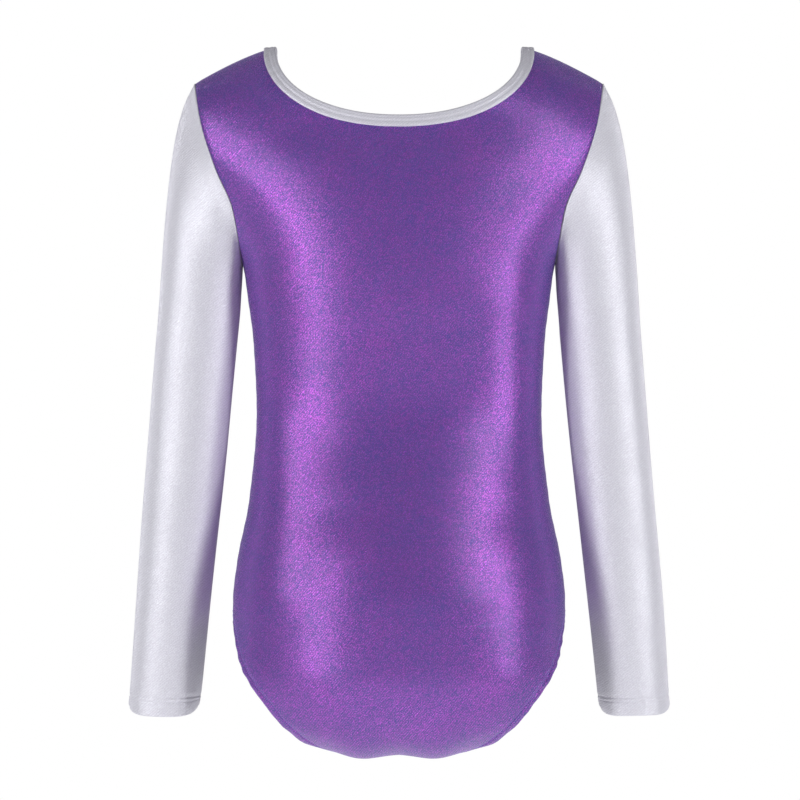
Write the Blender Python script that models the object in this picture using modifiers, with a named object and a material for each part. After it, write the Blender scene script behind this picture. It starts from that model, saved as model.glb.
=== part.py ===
"""A girl's long-sleeved gymnastics leotard, shaped as it sits on a body form.

Metres, +Z up. The wearer faces -Y, so the back is on +Y and the wearer's left is +X. The origin is on
the centre line, level with the high point of the shoulders, where the neckline meets the shoulder seams.
Every piece of cloth is a shell of one fabric thickness around a smooth surface. Pieces that are sewn
together stop a seam gap apart.
"""

import math

import bmesh
import bpy
from mathutils import Vector

# Cloth, tape and the clearances between pieces that touch.
FABRIC = 0.0009
BINDING_CLOTH = 0.0007
ELASTIC = 0.0006
TAPE = 0.0004
THREAD = 0.0004
OVERLOCK = 0.0010
SEAM_GAP = 0.0009
LAYER_GAP = 0.0005

# Drops, measured straight down from the high point of the shoulder.
SHOULDER_DROP = 0.028
UNDERARM_DROP = 0.177
WAIST_DROP = 0.296
HIGH_HIP_DROP = 0.368
HIP_DROP = 0.450
LEG_DROP = 0.466
CROTCH_DROP = 0.573

# Half widths of the body at those levels, and how far the back and the front stand off the side seams.
SHOULDER_HALF = 0.166
CHEST_HALF = 0.1265
WAIST_HALF = 0.116
HIGH_HIP_HALF = 0.122
HIP_HALF = 0.135
CHEST_BACK = 0.078
CHEST_FRONT = 0.084
WAIST_BACK = 0.062
WAIST_FRONT = 0.076
HIP_BACK = 0.101
HIP_FRONT = 0.085
SECTION_POWER = 2.2

# Neckline, shoulders and armholes. The neckline's sizes are those of the body cloth's cut edge.
NECK_HALF = 0.1045
BACK_NECK_DROP = 0.0625
FRONT_NECK_DROP = 0.098
NECK_SLOPE = 0.45
NECK_POWER = 2.15
SHOULDER_BOW = 1.25
SHOULDER_ROLL = 0.075
BLADE_DROP = 0.100
BLADE_BACK = 0.076
BLADE_FRONT = 0.078
TOP_BACK = 0.056
TOP_FRONT = 0.052

# Seat, gusset and leg openings.
CROTCH_HALF = 0.035
LOBE_SPACING = 0.031
LOBE_SPREAD = 0.021
LOBE_DROP = 0.005

# Sleeves, down the arm from the shoulder.
SLEEVE_LENGTH = 0.515
SLEEVE_TOP_HALF = 0.0325
ARM_STANDS_OUT = 0.005
CUFF_HALF = 0.0285
SLEEVE_FLATNESS = 0.86
CUFF_OUT = 0.193
CUFF_FORWARD = 0.010
CAP_TILT = 0.006
CAP_FAN = 1.6
SLEEVE_TAPER = 1.5

# Hems, binding, elastics, seams and labels.
LEG_HEM = 0.010
CUFF_HEM = 0.016
HEM_EDGE = 0.001
BINDING_LAP = 0.0050
BINDING_FOLD = 0.0040
LEG_ELASTIC_WIDTH = 0.006
OVERLOCK_WIDTH = 0.005
SHOULDER_TAPE_WIDTH = 0.006
COVERSTITCH_WIDTH = 0.0042
GUSSET_FRONT = 0.42
GUSSET_BACK = 0.22
SIZE_LABEL = (0.022, 0.014)
CARE_LABEL = (0.024, 0.040)
CARE_LABEL_ROW = 1.45
LABEL_CLOTH = 0.0005

# Rows and columns of each piece of cloth.
LEG_ROWS = 13
SIDE_ROWS = 11
YOKE_ROWS = 10
NECK_COLUMNS = 9
SHOULDER_COLUMNS = 6
NECK_END = NECK_COLUMNS / (NECK_COLUMNS + SHOULDER_COLUMNS)
ARM_RINGS = 9
GUSSET_ROWS = 5
GUSSET_COLUMNS = 6
COLUMN_SPREAD = 0.35
SETTLE_ROUNDS = 6
STEP = 0.01

BODY_COLOUR = (0.10, 0.05, 0.28)
SLEEVE_COLOUR = (0.68, 0.68, 0.76)
BODY_THREAD_COLOUR = (0.09, 0.05, 0.22)
SLEEVE_THREAD_COLOUR = (0.75, 0.75, 0.80)
ELASTIC_COLOUR = (0.80, 0.80, 0.78)
LINING_COLOUR = (0.13, 0.08, 0.30)
LABEL_COLOUR = (0.85, 0.85, 0.85)
FOIL_ROUGHNESS = 0.35
FOIL_METAL = 0.6
THREAD_ROUGHNESS = 0.8
ELASTIC_ROUGHNESS = 0.6
LABEL_ROUGHNESS = 0.8
LINING_ROUGHNESS = 0.9

COLLECTION = "gymnastics_leotard"
BACK, FRONT = 1, -1
LEFT, RIGHT = 1, -1
TINY = 1e-4

# Heights of the piece parameter v: 0 at the crotch seam, then the foot of the side seam, the underarm
# and the shoulder seam or neckline.
CROTCH, LEG_TOP, UNDERARM, TOP = 0.0, 1.0, 2.0, 3.0

# Beside the centre line, the way in from a leg edge runs this far upward for each step across.
UPWARD = Vector((0, 0, 0.5))


def from_chest(share):
    """Half width a share of the way from the chest's out to the shoulder's."""
    return CHEST_HALF + (SHOULDER_HALF - CHEST_HALF) * share


# Body form: drop, half width, back depth, front depth.
FORM = (
    (0.0, from_chest(2.2405), TOP_BACK, TOP_FRONT),
    (0.062, from_chest(1.7595), 0.066, 0.066),
    (BLADE_DROP, from_chest(1.1772), BLADE_BACK, BLADE_FRONT),
    (0.132, from_chest(0.5696), 0.079, 0.083),
    (0.152, from_chest(0.2785), 0.079, 0.084),
    (UNDERARM_DROP, CHEST_HALF, CHEST_BACK, CHEST_FRONT),
    (0.205, 0.1225, 0.075, 0.083),
    (0.238, 0.1185, 0.069, 0.080),
    (WAIST_DROP, WAIST_HALF, WAIST_BACK, WAIST_FRONT),
    (HIGH_HIP_DROP, HIGH_HIP_HALF, 0.080, 0.084),
    (0.417, 0.1315, 0.096, 0.087),
    (HIP_DROP, HIP_HALF, HIP_BACK, HIP_FRONT),
    (LEG_DROP, HIP_HALF, HIP_BACK, 0.084),
)

# Armhole edges: drop, half width of the back, half width of the front.
ARMHOLE = (
    (SHOULDER_DROP, SHOULDER_HALF, SHOULDER_HALF),
    (0.062, from_chest(0.8481), from_chest(0.7468)),
    (BLADE_DROP, from_chest(0.5316), from_chest(0.3671)),
    (0.132, from_chest(0.1823), from_chest(0.1013)),
    (UNDERARM_DROP, CHEST_HALF, CHEST_HALF),
)

# The seat and the tummy below the side seams, as steps from the crotch seam up to the foot of the side
# seam: drop on the centre line, share of the hip's depth, half width at the leg edge, rise of that edge.
SEAT = (
    (CROTCH_DROP, 0.0, CROTCH_HALF, 0.0),
    (CROTCH_DROP, 0.17, 0.047, 0.002),
    (CROTCH_DROP - 0.002, 0.42, 0.073, 0.007),
    (CROTCH_DROP - 0.011, 0.66, 0.092, 0.013),
    (CROTCH_DROP - 0.027, 0.83, 0.107, 0.015),
    (CROTCH_DROP - 0.046, 0.93, 0.119, 0.012),
    (CROTCH_DROP - 0.069, 0.985, 0.128, 0.006),
    (LEG_DROP, 1.0, HIP_HALF, 0.0),
)
TUMMY = (
    (CROTCH_DROP, 0.0, CROTCH_HALF, 0.0),
    (CROTCH_DROP - 0.003, 0.22, 0.038, 0.001),
    (CROTCH_DROP - 0.011, 0.45, 0.046, 0.003),
    (CROTCH_DROP - 0.023, 0.64, 0.059, 0.006),
    (CROTCH_DROP - 0.040, 0.79, 0.077, 0.009),
    (CROTCH_DROP - 0.060, 0.90, 0.098, 0.010),
    (CROTCH_DROP - 0.082, 0.965, 0.119, 0.006),
    (LEG_DROP, 1.0, HIP_HALF, 0.0),
)


def cap_out(share):
    """Distance out of the sleeve's top edge, a share of the way from the shoulder point to the arm."""
    arm = CHEST_HALF + ARM_STANDS_OUT + 2 * SLEEVE_TOP_HALF
    return SHOULDER_HALF + (arm - SHOULDER_HALF) * share


# Top of the sleeve from the shoulder point down the outside of the arm: distance out, drop.
SLEEVE_CAP = (
    (cap_out(0.0), SHOULDER_DROP),
    (cap_out(0.2459), 0.043),
    (cap_out(0.4262), 0.060),
    (cap_out(0.5738), 0.082),
    (cap_out(0.6885), 0.107),
    (cap_out(0.7869), 0.135),
    (cap_out(0.8689), 0.165),
    (cap_out(0.9344), 0.196),
    (cap_out(1.0), 0.226),
)


def clear_scene():
    """Removes whatever the startup scene holds."""
    for obj in list(bpy.data.objects):
        bpy.data.objects.remove(obj, do_unlink=True)


def smooth_through(stations, column, at):
    """Reads one column of the stations at a place between them, on a curve that doesn't overshoot."""
    places = [row[0] for row in stations]
    values = [row[column] for row in stations]
    last = len(places) - 1
    at = min(max(at, places[0]), places[last])
    k = max(i for i in range(last) if places[i] <= at)
    slopes = [(values[i + 1] - values[i]) / (places[i + 1] - places[i]) for i in range(last)]

    def bend(i):
        if i in (0, last):
            return slopes[min(i, last - 1)]
        before, after = slopes[i - 1], slopes[i]
        return 0.0 if before * after <= 0 else 2 * before * after / (before + after)

    span = places[k + 1] - places[k]
    t = (at - places[k]) / span
    start = values[k] * (1 + 2 * t) * (1 - t) ** 2 + values[k + 1] * t * t * (3 - 2 * t)
    return start + span * (bend(k) * t * (1 - t) ** 2 - bend(k + 1) * t * t * (1 - t))


def ridge(x):
    """Height of the shoulder ridge over a distance from the centre line."""
    out = (abs(x) - NECK_HALF) / (SHOULDER_HALF - NECK_HALF)
    if out < 0:
        return NECK_SLOPE * (NECK_HALF - abs(x))
    return -SHOULDER_DROP * out**SHOULDER_BOW


def stand_off(side, x, drop):
    """Distance of the body's surface behind or in front of the side seams."""
    half = max(smooth_through(FORM, 1, drop), abs(x))
    depth = smooth_through(FORM, 2 if side == BACK else 3, drop)
    across = (1 - (abs(x) / half) ** SECTION_POWER) ** (1 / SECTION_POWER)
    under = min(max(ridge(x) + drop, 0.0) / SHOULDER_ROLL, 1.0)
    return depth * across * math.sqrt(1 - (1 - under) ** 2)


def armhole_half(side, drop):
    return smooth_through(ARMHOLE, 1 if side == BACK else 2, drop)


def neck_drop(side):
    return BACK_NECK_DROP if side == BACK else FRONT_NECK_DROP


def neck_angle(column):
    """Angle round the neckline where a column ends: 0 in its middle, a quarter turn at the shoulder."""
    return math.pi / 2 * math.sin(math.pi / 2 * min(column / NECK_END, 1.0))


def spread(column):
    """Share of a quarter turn round the body at which a column runs, closer together at the sides."""
    return column * (1 + COLUMN_SPREAD * (1 - column))


def top_place(side, column):
    """Distance out and drop of a column's upper end, on the neckline or the shoulder seam."""
    if column <= NECK_END:
        angle, power = neck_angle(column), 2 / NECK_POWER
        return NECK_HALF * math.sin(angle) ** power, neck_drop(side) * abs(math.cos(angle)) ** power
    x = NECK_HALF + (SHOULDER_HALF - NECK_HALF) * (column - NECK_END) / (1 - NECK_END)
    return x, -ridge(x)


def panel_point(side, column, v):
    """A point of the front or back: column runs across it from -1 to 1, v up it from CROTCH to TOP."""
    wide = min(abs(column), 1.0)
    if v <= LEG_TOP:
        table = SEAT if side == BACK else TUMMY
        steps = [(i / (len(table) - 1),) + row for i, row in enumerate(table)]
        climb = math.sin(math.pi / 2 * max(v, CROTCH))
        drop, fill, half, lift = (smooth_through(steps, c, climb) for c in (1, 2, 3, 4))
        turn = spread(wide)
        across = turn + (math.sin(turn * math.pi / 2) - turn) * climb**2
        x = across * half
        round_off = max(1 - (x / HIP_HALF) ** SECTION_POWER, 0.0) ** (1 / SECTION_POWER)
        lobes = LOBE_DROP * math.exp(-(((x - LOBE_SPACING) / LOBE_SPREAD) ** 2))
        lobes *= math.sin(math.pi * min(fill, 1.0)) if side == BACK else 0.0
        z = -drop + lift * across**2 - lobes
        y = fill * smooth_through(FORM, 2 if side == BACK else 3, LEG_DROP) * round_off
    elif v <= UNDERARM:
        drop = LEG_DROP + (UNDERARM_DROP - LEG_DROP) * (v - LEG_TOP)
        x = math.sin(spread(wide) * math.pi / 2) * smooth_through(FORM, 1, drop)
        y = stand_off(side, x, drop)
        z = -drop
    else:
        up = min(v - UNDERARM, 1.0)
        top_x, top_drop = top_place(side, wide)
        drop = UNDERARM_DROP + (top_drop - UNDERARM_DROP) * math.sin(math.pi / 2 * up)
        low_share = math.sin(spread(wide) * math.pi / 2)
        top_share = top_x / armhole_half(side, top_drop)
        x = (low_share + (top_share - low_share) * up * up * (3 - 2 * up)) * armhole_half(side, drop)
        y = stand_off(side, x, drop)
        z = -drop
    return Vector((math.copysign(x, column), side * (y + SEAM_GAP / 2), z))


def panel_frame(side, column, v):
    """The panel's point with its directions across and up, and its outward normal."""
    inner = math.copysign(min(abs(column), 1 - STEP), column)
    v_in = min(max(v, STEP), TOP - STEP)
    across = panel_point(side, inner + STEP, v_in) - panel_point(side, inner - STEP, v_in)
    up = panel_point(side, inner, v_in + STEP) - panel_point(side, inner, v_in - STEP)
    normal = across.cross(up).normalized() * -side
    return panel_point(side, column, v), across / (2 * STEP), up / (2 * STEP), normal


def settle(side, column, v, shift):
    """Column and row of the place on the panel that lies a shift away from a place on its edge."""
    target = panel_point(side, column, v) + shift
    if shift.length == 0:
        return column, v
    for _ in range(SETTLE_ROUNDS):
        point, across, up, _ = panel_frame(side, column, v)
        miss = target - point
        a, b, c = across.dot(across), across.dot(up), up.dot(up)
        p, q = miss.dot(across), miss.dot(up)
        det = a * c - b * b
        column = min(max(column + (p * c - q * b) / det, -1.0), 1.0)
        v = min(max(v + (q * a - p * b) / det, CROTCH), TOP)
    return column, v


def sunk(side, column, v, depth):
    """A point a depth below the outer cloth's middle, towards the body. A negative depth is outside."""
    point, _, _, normal = panel_frame(side, column, v)
    return point - normal * depth


def columns():
    """Columns of a panel from side to side."""
    count = NECK_COLUMNS + SHOULDER_COLUMNS
    return [i / count for i in range(-count, count + 1)]


def rows():
    """Rows of a panel from the crotch seam to the top."""
    leg = [LEG_TOP * i / LEG_ROWS for i in range(LEG_ROWS)]
    side = [LEG_TOP + i / SIDE_ROWS for i in range(SIDE_ROWS)]
    yoke = [UNDERARM + i / YOKE_ROWS for i in range(YOKE_ROWS + 1)]
    return leg + side + yoke


def leg_place(side, hand, v, inward):
    """Column and row a distance in from the leg edge, square to that edge."""
    _, across, _, normal = panel_frame(side, hand, v)
    step = 1 / (2 * LEG_ROWS)
    along = panel_point(side, hand, min(v + step, LEG_TOP))
    along -= panel_point(side, hand, max(v - step, CROTCH))
    if v in (CROTCH, LEG_TOP):
        along = Vector((0, 1, 0))
    into = normal.cross(along).normalized()
    if into.dot(UPWARD - across.normalized() * hand) < 0:
        into = -into
    if v == LEG_TOP:
        into = Vector((0, 0, 1))
    return settle(side, hand, v, into * inward)


def leg_point(side, hand, v, inward, depth):
    """A point of a hem, elastic or stitch line beside the leg edge. The ends keep the seam gap."""
    point = sunk(side, *leg_place(side, hand, v, inward), depth)
    if v in (CROTCH, LEG_TOP):
        point.y = side * SEAM_GAP
    return point


def leg_loop(hand):
    """The leg opening's edge as (side, hand, v): from the crotch up the back and down the front."""
    climb = [LEG_TOP * i / LEG_ROWS for i in range(LEG_ROWS + 1)]
    return [(BACK, hand, v) for v in climb] + [(FRONT, hand, v) for v in reversed(climb)]


def finish(name, solid, colour, roughness, metallic=0.0, pivot=None):
    """Makes the named object from a bmesh, with its own material, hung on its joint's empty if it moves."""
    bmesh.ops.remove_doubles(solid, verts=solid.verts, dist=TINY)
    bmesh.ops.recalc_face_normals(solid, faces=solid.faces)
    if pivot is not None:
        bmesh.ops.translate(solid, verts=solid.verts, vec=-pivot.location)
    mesh = bpy.data.meshes.new(name)
    solid.to_mesh(mesh)
    solid.free()
    mesh.shade_smooth()
    obj = bpy.data.objects.new(name, mesh)
    obj.parent = pivot
    bpy.data.collections[COLLECTION].objects.link(obj)
    material = bpy.data.materials.new(name)
    material.use_nodes = True
    shader = material.node_tree.nodes["Principled BSDF"]
    shader.inputs["Base Color"].default_value = (*colour, 1)
    shader.inputs["Roughness"].default_value = roughness
    shader.inputs["Metallic"].default_value = metallic
    mesh.materials.append(material)
    return obj


def thicken(obj, thickness):
    """Turns a surface of cloth into a shell with that surface in its middle."""
    cloth = obj.modifiers.new("cloth", "SOLIDIFY")
    cloth.thickness = thickness
    cloth.offset = 0.0
    cloth.use_rim = True


def face_grid(solid, grid, wrap=False):
    """Joins rows of vertices into quads. A wrapped grid's rows are rings."""
    for lower, upper in zip(grid, grid[1:]):
        count = len(lower)
        for i in range(count if wrap else count - 1):
            j = (i + 1) % count
            solid.faces.new((lower[i], lower[j], upper[j], upper[i]))


def sweep(sections, closed=False):
    """A solid band through sections that are loops of points. An open band gets flat ends."""
    band = bmesh.new()
    grid = [[band.verts.new(point) for point in section] for section in sections]
    if closed:
        grid.append(grid[0])
    face_grid(band, grid, wrap=True)
    if not closed:
        band.faces.new(grid[0])
        band.faces.new(list(reversed(grid[-1])))
    return band


def hem_fold():
    """Distance between the two layers of a leg hem, with the elastic between them."""
    return FABRIC + ELASTIC + 4 * LAYER_GAP


def under_cloth():
    """Depth of the outer face of whatever lies against the inside of the cloth."""
    return FABRIC / 2 + LAYER_GAP


def make_panel(name, side):
    """The front or the back: cloth up to its seams, with its leg edges turned in over the elastic."""
    cloth = bmesh.new()
    grid = [[cloth.verts.new(panel_point(side, c, v)) for c in columns()] for v in rows()]
    face_grid(cloth, grid)
    for hand, column in ((RIGHT, 0), (LEFT, -1)):
        strip = []
        for i in range(LEG_ROWS + 1):
            v = LEG_TOP * i / LEG_ROWS
            turned = [leg_point(side, hand, v, inward, hem_fold()) for inward in (0.0, LEG_HEM)]
            strip.append([grid[i][column]] + [cloth.verts.new(point) for point in turned])
        face_grid(cloth, strip)
    thicken(finish(name, cloth, BODY_COLOUR, FOIL_ROUGHNESS, FOIL_METAL), FABRIC)


def armhole_loop(hand):
    """The armhole's edge: down the back from the shoulder point to the underarm, and up the front."""
    climb = [UNDERARM + i / YOKE_ROWS for i in range(YOKE_ROWS + 1)]
    down = [panel_point(BACK, hand, v) for v in reversed(climb)]
    up = [panel_point(FRONT, hand, v) for v in climb]
    for point in (down[0], down[-1]):
        point.y = 0.0
    return down + up[1:-1]


def armhole_normal(hand):
    """Direction square to the armhole, from the body into the sleeve."""
    loop = armhole_loop(hand)
    return (loop[0] - loop[YOKE_ROWS]).cross(Vector((0, 1, 0))).normalized() * -hand


def armhole_gap(height, top, bottom):
    """Gap from the body's cloth to the sleeve's, wider at the underarm, where the two hang side by side."""
    down = (top - height) / (top - bottom)
    return SEAM_GAP + (FABRIC + SEAM_GAP) * down**3


def ring_angles(hand):
    """Angles round a sleeve: 0 on top of the arm, half a turn at the underarm seam."""
    count = len(armhole_loop(hand))
    return [math.pi * i / YOKE_ROWS for i in range(count)]


def arm_ring(hand, share, outset=0.0):
    """A ring across the arm, a share of the way from the cap to the cuff, with its cloth set out or in."""
    outer, drop = SLEEVE_CAP[-1]
    start = Vector((hand * (outer - SLEEVE_TOP_HALF), 0, -drop - CAP_TILT / 2))
    end = Vector((hand * CUFF_OUT, 0, -SHOULDER_DROP - SLEEVE_LENGTH))
    middle = start.lerp(end, share)
    middle.y = -CUFF_FORWARD * share**2
    half = SLEEVE_TOP_HALF + (CUFF_HALF - SLEEVE_TOP_HALF) * share**SLEEVE_TAPER
    reach = Vector((hand * (half + outset), 0, CAP_TILT / 2 * (1 - share)))
    turn = Vector((0, half * SLEEVE_FLATNESS + outset, 0))
    return [middle + reach * math.cos(a) + turn * math.sin(a) for a in ring_angles(hand)]


def sleeve_rings(hand):
    """Rings of the sleeve: they fan about the underarm over the cap, then run straight down the arm."""
    loop = armhole_loop(hand)
    top, under = loop[0], loop[YOKE_ROWS]
    out = armhole_normal(hand)
    clear = [armhole_gap(point.z, top.z, under.z) for point in loop]
    depth_here = max(abs(point.y) for point in loop)
    arm_depth = SLEEVE_TOP_HALF * SLEEVE_FLATNESS
    inner_end = arm_ring(hand, 0.0)[YOKE_ROWS]

    def oval(outer, inner, depth):
        middle, half = (outer + inner) / 2, (outer - inner) / 2
        turn = Vector((0, depth, 0))
        return [middle + half * math.cos(a) + turn * math.sin(a) for a in ring_angles(hand)]

    apart = [point - even for point, even in zip(loop, oval(top, under, depth_here))]
    rings = [[point + out * gap for point, gap in zip(loop, clear)]]
    for k in range(1, len(SLEEVE_CAP)):
        t = k / (len(SLEEVE_CAP) - 1)
        outer = Vector((hand * SLEEVE_CAP[k][0], 0, -SLEEVE_CAP[k][1]))
        inner = under.lerp(inner_end, t**CAP_FAN)
        ring = oval(outer, inner, depth_here + (arm_depth - depth_here) * math.sin(t * math.pi / 2))
        keep = (1 - t) ** 2
        rings.append([p + away * keep + out * gap * (1 - t) for p, away, gap in zip(ring, apart, clear)])
    return rings + [arm_ring(hand, k / ARM_RINGS) for k in range(1, ARM_RINGS + 1)]


def cuff_share(up_from_cuff):
    """How far down the arm a ring is that lies a distance above the cuff's edge."""
    return 1 - up_from_cuff / (SHOULDER_DROP + SLEEVE_LENGTH - SLEEVE_CAP[-1][1])


def make_sleeve(hand, word, pivot):
    """A sleeve: one loft from the armhole to the cuff, whose end is turned up inside as a hem."""
    turned_in = -(FABRIC + LAYER_GAP)
    rings = sleeve_rings(hand)
    rings += [arm_ring(hand, 1.0, turned_in), arm_ring(hand, cuff_share(CUFF_HEM), turned_in)]
    cloth = bmesh.new()
    face_grid(cloth, [[cloth.verts.new(point) for point in ring] for ring in rings], wrap=True)
    thicken(finish(word + "_sleeve", cloth, SLEEVE_COLOUR, FOIL_ROUGHNESS, FOIL_METAL, pivot), FABRIC)


def make_sleeve_seam(hand, word, pivot):
    """The overlocked seam along the underside of the arm, lying against the inside of the sleeve."""
    last = int(ARM_RINGS * cuff_share(CUFF_HEM + 2 * OVERLOCK_WIDTH))
    rings = sleeve_rings(hand)[3 : len(SLEEVE_CAP) + last]
    sections = []
    for ring in rings:
        seam, beside = ring[YOKE_ROWS], ring[YOKE_ROWS + 1]
        centre = sum(ring, Vector()) / len(ring)
        across = (beside - seam).normalized()
        to_centre = centre - seam
        inward = (to_centre - across * to_centre.dot(across)).normalized()
        near, far = seam + across * SEAM_GAP, seam + across * (SEAM_GAP + OVERLOCK_WIDTH)
        top, bottom = inward * under_cloth(), inward * (under_cloth() + OVERLOCK)
        sections.append([near + top, far + top, far + bottom, near + bottom])
    finish(word + "_sleeve_seam", sweep(sections), SLEEVE_THREAD_COLOUR, THREAD_ROUGHNESS, pivot=pivot)


def make_armhole_seam(hand, word):
    """The overlocked armhole seam, its allowance standing in towards the middle of the armhole."""
    loop = armhole_loop(hand)
    centre = sum(loop, Vector()) / len(loop)
    out = armhole_normal(hand)
    sections = []
    for point in loop:
        inward = (centre - point - out * (centre - point).dot(out)).normalized()
        near = point + inward * 2 * under_cloth()
        far = near + inward * OVERLOCK_WIDTH
        half = out * OVERLOCK / 2
        sections.append([near - half, far - half, far + half, near + half])
    finish(word + "_armhole_seam", sweep(sections, True), SLEEVE_THREAD_COLOUR, THREAD_ROUGHNESS)


def make_cuff_stitch(hand, word, pivot):
    """The twin-needle coverstitch that holds the cuff hem, as the band of thread on its outside."""
    above = CUFF_HEM - HEM_EDGE
    near, far = cuff_share(above - COVERSTITCH_WIDTH), cuff_share(above)
    low, high = FABRIC / 2 + LAYER_GAP, FABRIC / 2 + LAYER_GAP + THREAD
    corners = [(near, low), (far, low), (far, high), (near, high)]
    rings = [arm_ring(hand, share, outset) for share, outset in corners]
    sections = [list(section) for section in zip(*rings)]
    band = sweep(sections, True)
    finish(word + "_cuff_coverstitch", band, SLEEVE_THREAD_COLOUR, THREAD_ROUGHNESS, pivot=pivot)


def make_leg_band(name, hand, near, far, top, bottom, colour, roughness):
    """A band that runs round a leg opening, between two distances from its edge and two depths."""
    sections = []
    for place in leg_loop(hand):
        edge = [leg_point(*place, 0.0, depth) for depth in (top, bottom)]
        inside = [leg_point(*place, LEG_HEM, depth) for depth in (top, bottom)]
        start, end = near / LEG_HEM, far / LEG_HEM
        outer = [edge[0].lerp(inside[0], share) for share in (start, end)]
        inner = [edge[1].lerp(inside[1], share) for share in (end, start)]
        sections.append(outer + inner)
    finish(name, sweep(sections, True), colour, roughness)


def make_side_seam(hand, word):
    """The overlocked side seam, turned towards the back, between the leg hem and the armhole seam."""
    low = LEG_TOP + (LEG_HEM + 2 * OVERLOCK_WIDTH) / (LEG_DROP - UNDERARM_DROP)
    high = UNDERARM - 3 * OVERLOCK_WIDTH / (LEG_DROP - UNDERARM_DROP)
    between = [v for v in rows() if low < v < high]
    sections = []
    for v in [low] + between + [high]:
        section = []
        for near, depth in band_corners(OVERLOCK_WIDTH, OVERLOCK):
            place = settle(BACK, hand, v, Vector((0, near, 0)))
            section.append(sunk(BACK, *place, depth))
        sections.append(section)
    finish(word + "_side_seam", sweep(sections), BODY_THREAD_COLOUR, THREAD_ROUGHNESS)


def band_corners(width, thickness):
    """Corners of a band that lies beside a seam on the inside of the cloth: distance from it, depth."""
    near, far = SEAM_GAP, SEAM_GAP + width
    top, bottom = under_cloth(), under_cloth() + thickness
    return ((near, top), (far, top), (far, bottom), (near, bottom))


def make_shoulder_band(name, side, hand, width, thickness, colour, roughness):
    """A band along one side of a shoulder seam, short of the neck binding and the armhole seam."""
    first = NECK_HALF + BINDING_LAP + OVERLOCK_WIDTH
    last = SHOULDER_HALF - OVERLOCK_WIDTH - width
    sections = []
    for i in range(SHOULDER_COLUMNS):
        x = first + (last - first) * i / (SHOULDER_COLUMNS - 1)
        column = hand * (NECK_END + (1 - NECK_END) * (x - NECK_HALF) / (SHOULDER_HALF - NECK_HALF))
        section = []
        for near, depth in band_corners(width, thickness):
            place = settle(side, column, TOP - STEP, Vector((0, side * near, 0)))
            section.append(sunk(side, *place, depth + LAYER_GAP))
        sections.append(section)
    finish(name, sweep(sections), colour, roughness)


def make_shoulder_bands(hand, word):
    """The shoulder seam, turned towards the back, and the clear tape beside it in the front."""
    finish_of_seam = (BODY_THREAD_COLOUR, THREAD_ROUGHNESS)
    finish_of_tape = (ELASTIC_COLOUR, ELASTIC_ROUGHNESS)
    make_shoulder_band(word + "_shoulder_seam", BACK, hand, OVERLOCK_WIDTH, OVERLOCK, *finish_of_seam)
    make_shoulder_band(word + "_shoulder_tape", FRONT, hand, SHOULDER_TAPE_WIDTH, TAPE, *finish_of_tape)


def make_leg_bands(hand, word):
    """The elastic inside a leg hem, and the twin-needle coverstitch that holds the hem."""
    near, top = LAYER_GAP + FABRIC, under_cloth() + LAYER_GAP
    far = near + LEG_ELASTIC_WIDTH
    finish_of_elastic = (ELASTIC_COLOUR, ELASTIC_ROUGHNESS)
    make_leg_band(word + "_leg_elastic", hand, near, far, top, top + ELASTIC, *finish_of_elastic)
    far, top = LEG_HEM - LAYER_GAP, -FABRIC / 2 - 2 * LAYER_GAP
    near = far - COVERSTITCH_WIDTH
    finish_of_stitch = (BODY_THREAD_COLOUR, THREAD_ROUGHNESS)
    make_leg_band(word + "_leg_coverstitch", hand, near, far, top - THREAD, top, *finish_of_stitch)


def lining_places(side, v):
    """Places across the lining, whose edges stop short of the turned leg hems."""
    half, edge_row = leg_place(side, LEFT, v, LEG_HEM + 6 * LAYER_GAP)
    shares = [2 * i / GUSSET_COLUMNS - 1 for i in range(GUSSET_COLUMNS + 1)]
    return [(half * share, v + (edge_row - v) * share**2) for share in shares]


def lining_depth():
    return under_cloth() + OVERLOCK + LAYER_GAP + FABRIC / 2


def make_crotch_seam():
    """The overlocked crotch seam, turned towards the back, between the cloth and the lining."""
    sections = []
    for column, _ in lining_places(BACK, CROTCH):
        section = []
        for near, depth in band_corners(OVERLOCK_WIDTH, OVERLOCK):
            place = settle(BACK, column, CROTCH, Vector((0, near, 0)))
            section.append(sunk(BACK, *place, depth))
        sections.append(section)
    finish("crotch_seam", sweep(sections), BODY_THREAD_COLOUR, THREAD_ROUGHNESS)


def make_crotch_lining():
    """The soft lining inside the crotch, from the lower front through to the seat."""
    front = [GUSSET_FRONT * (1 - i / GUSSET_ROWS) for i in range(GUSSET_ROWS)]
    back = [GUSSET_BACK * i / GUSSET_ROWS for i in range(GUSSET_ROWS + 1)]
    cloth = bmesh.new()
    grid = []
    for side, v in [(FRONT, v) for v in front] + [(BACK, v) for v in back]:
        points = [sunk(side, *place, lining_depth()) for place in lining_places(side, v)]
        if v == CROTCH:
            points = [Vector((point.x, 0, point.z)) for point in points]
        grid.append([cloth.verts.new(point) for point in points])
    face_grid(cloth, grid)
    thicken(finish("crotch_lining", cloth, LINING_COLOUR, LINING_ROUGHNESS), FABRIC)


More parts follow.
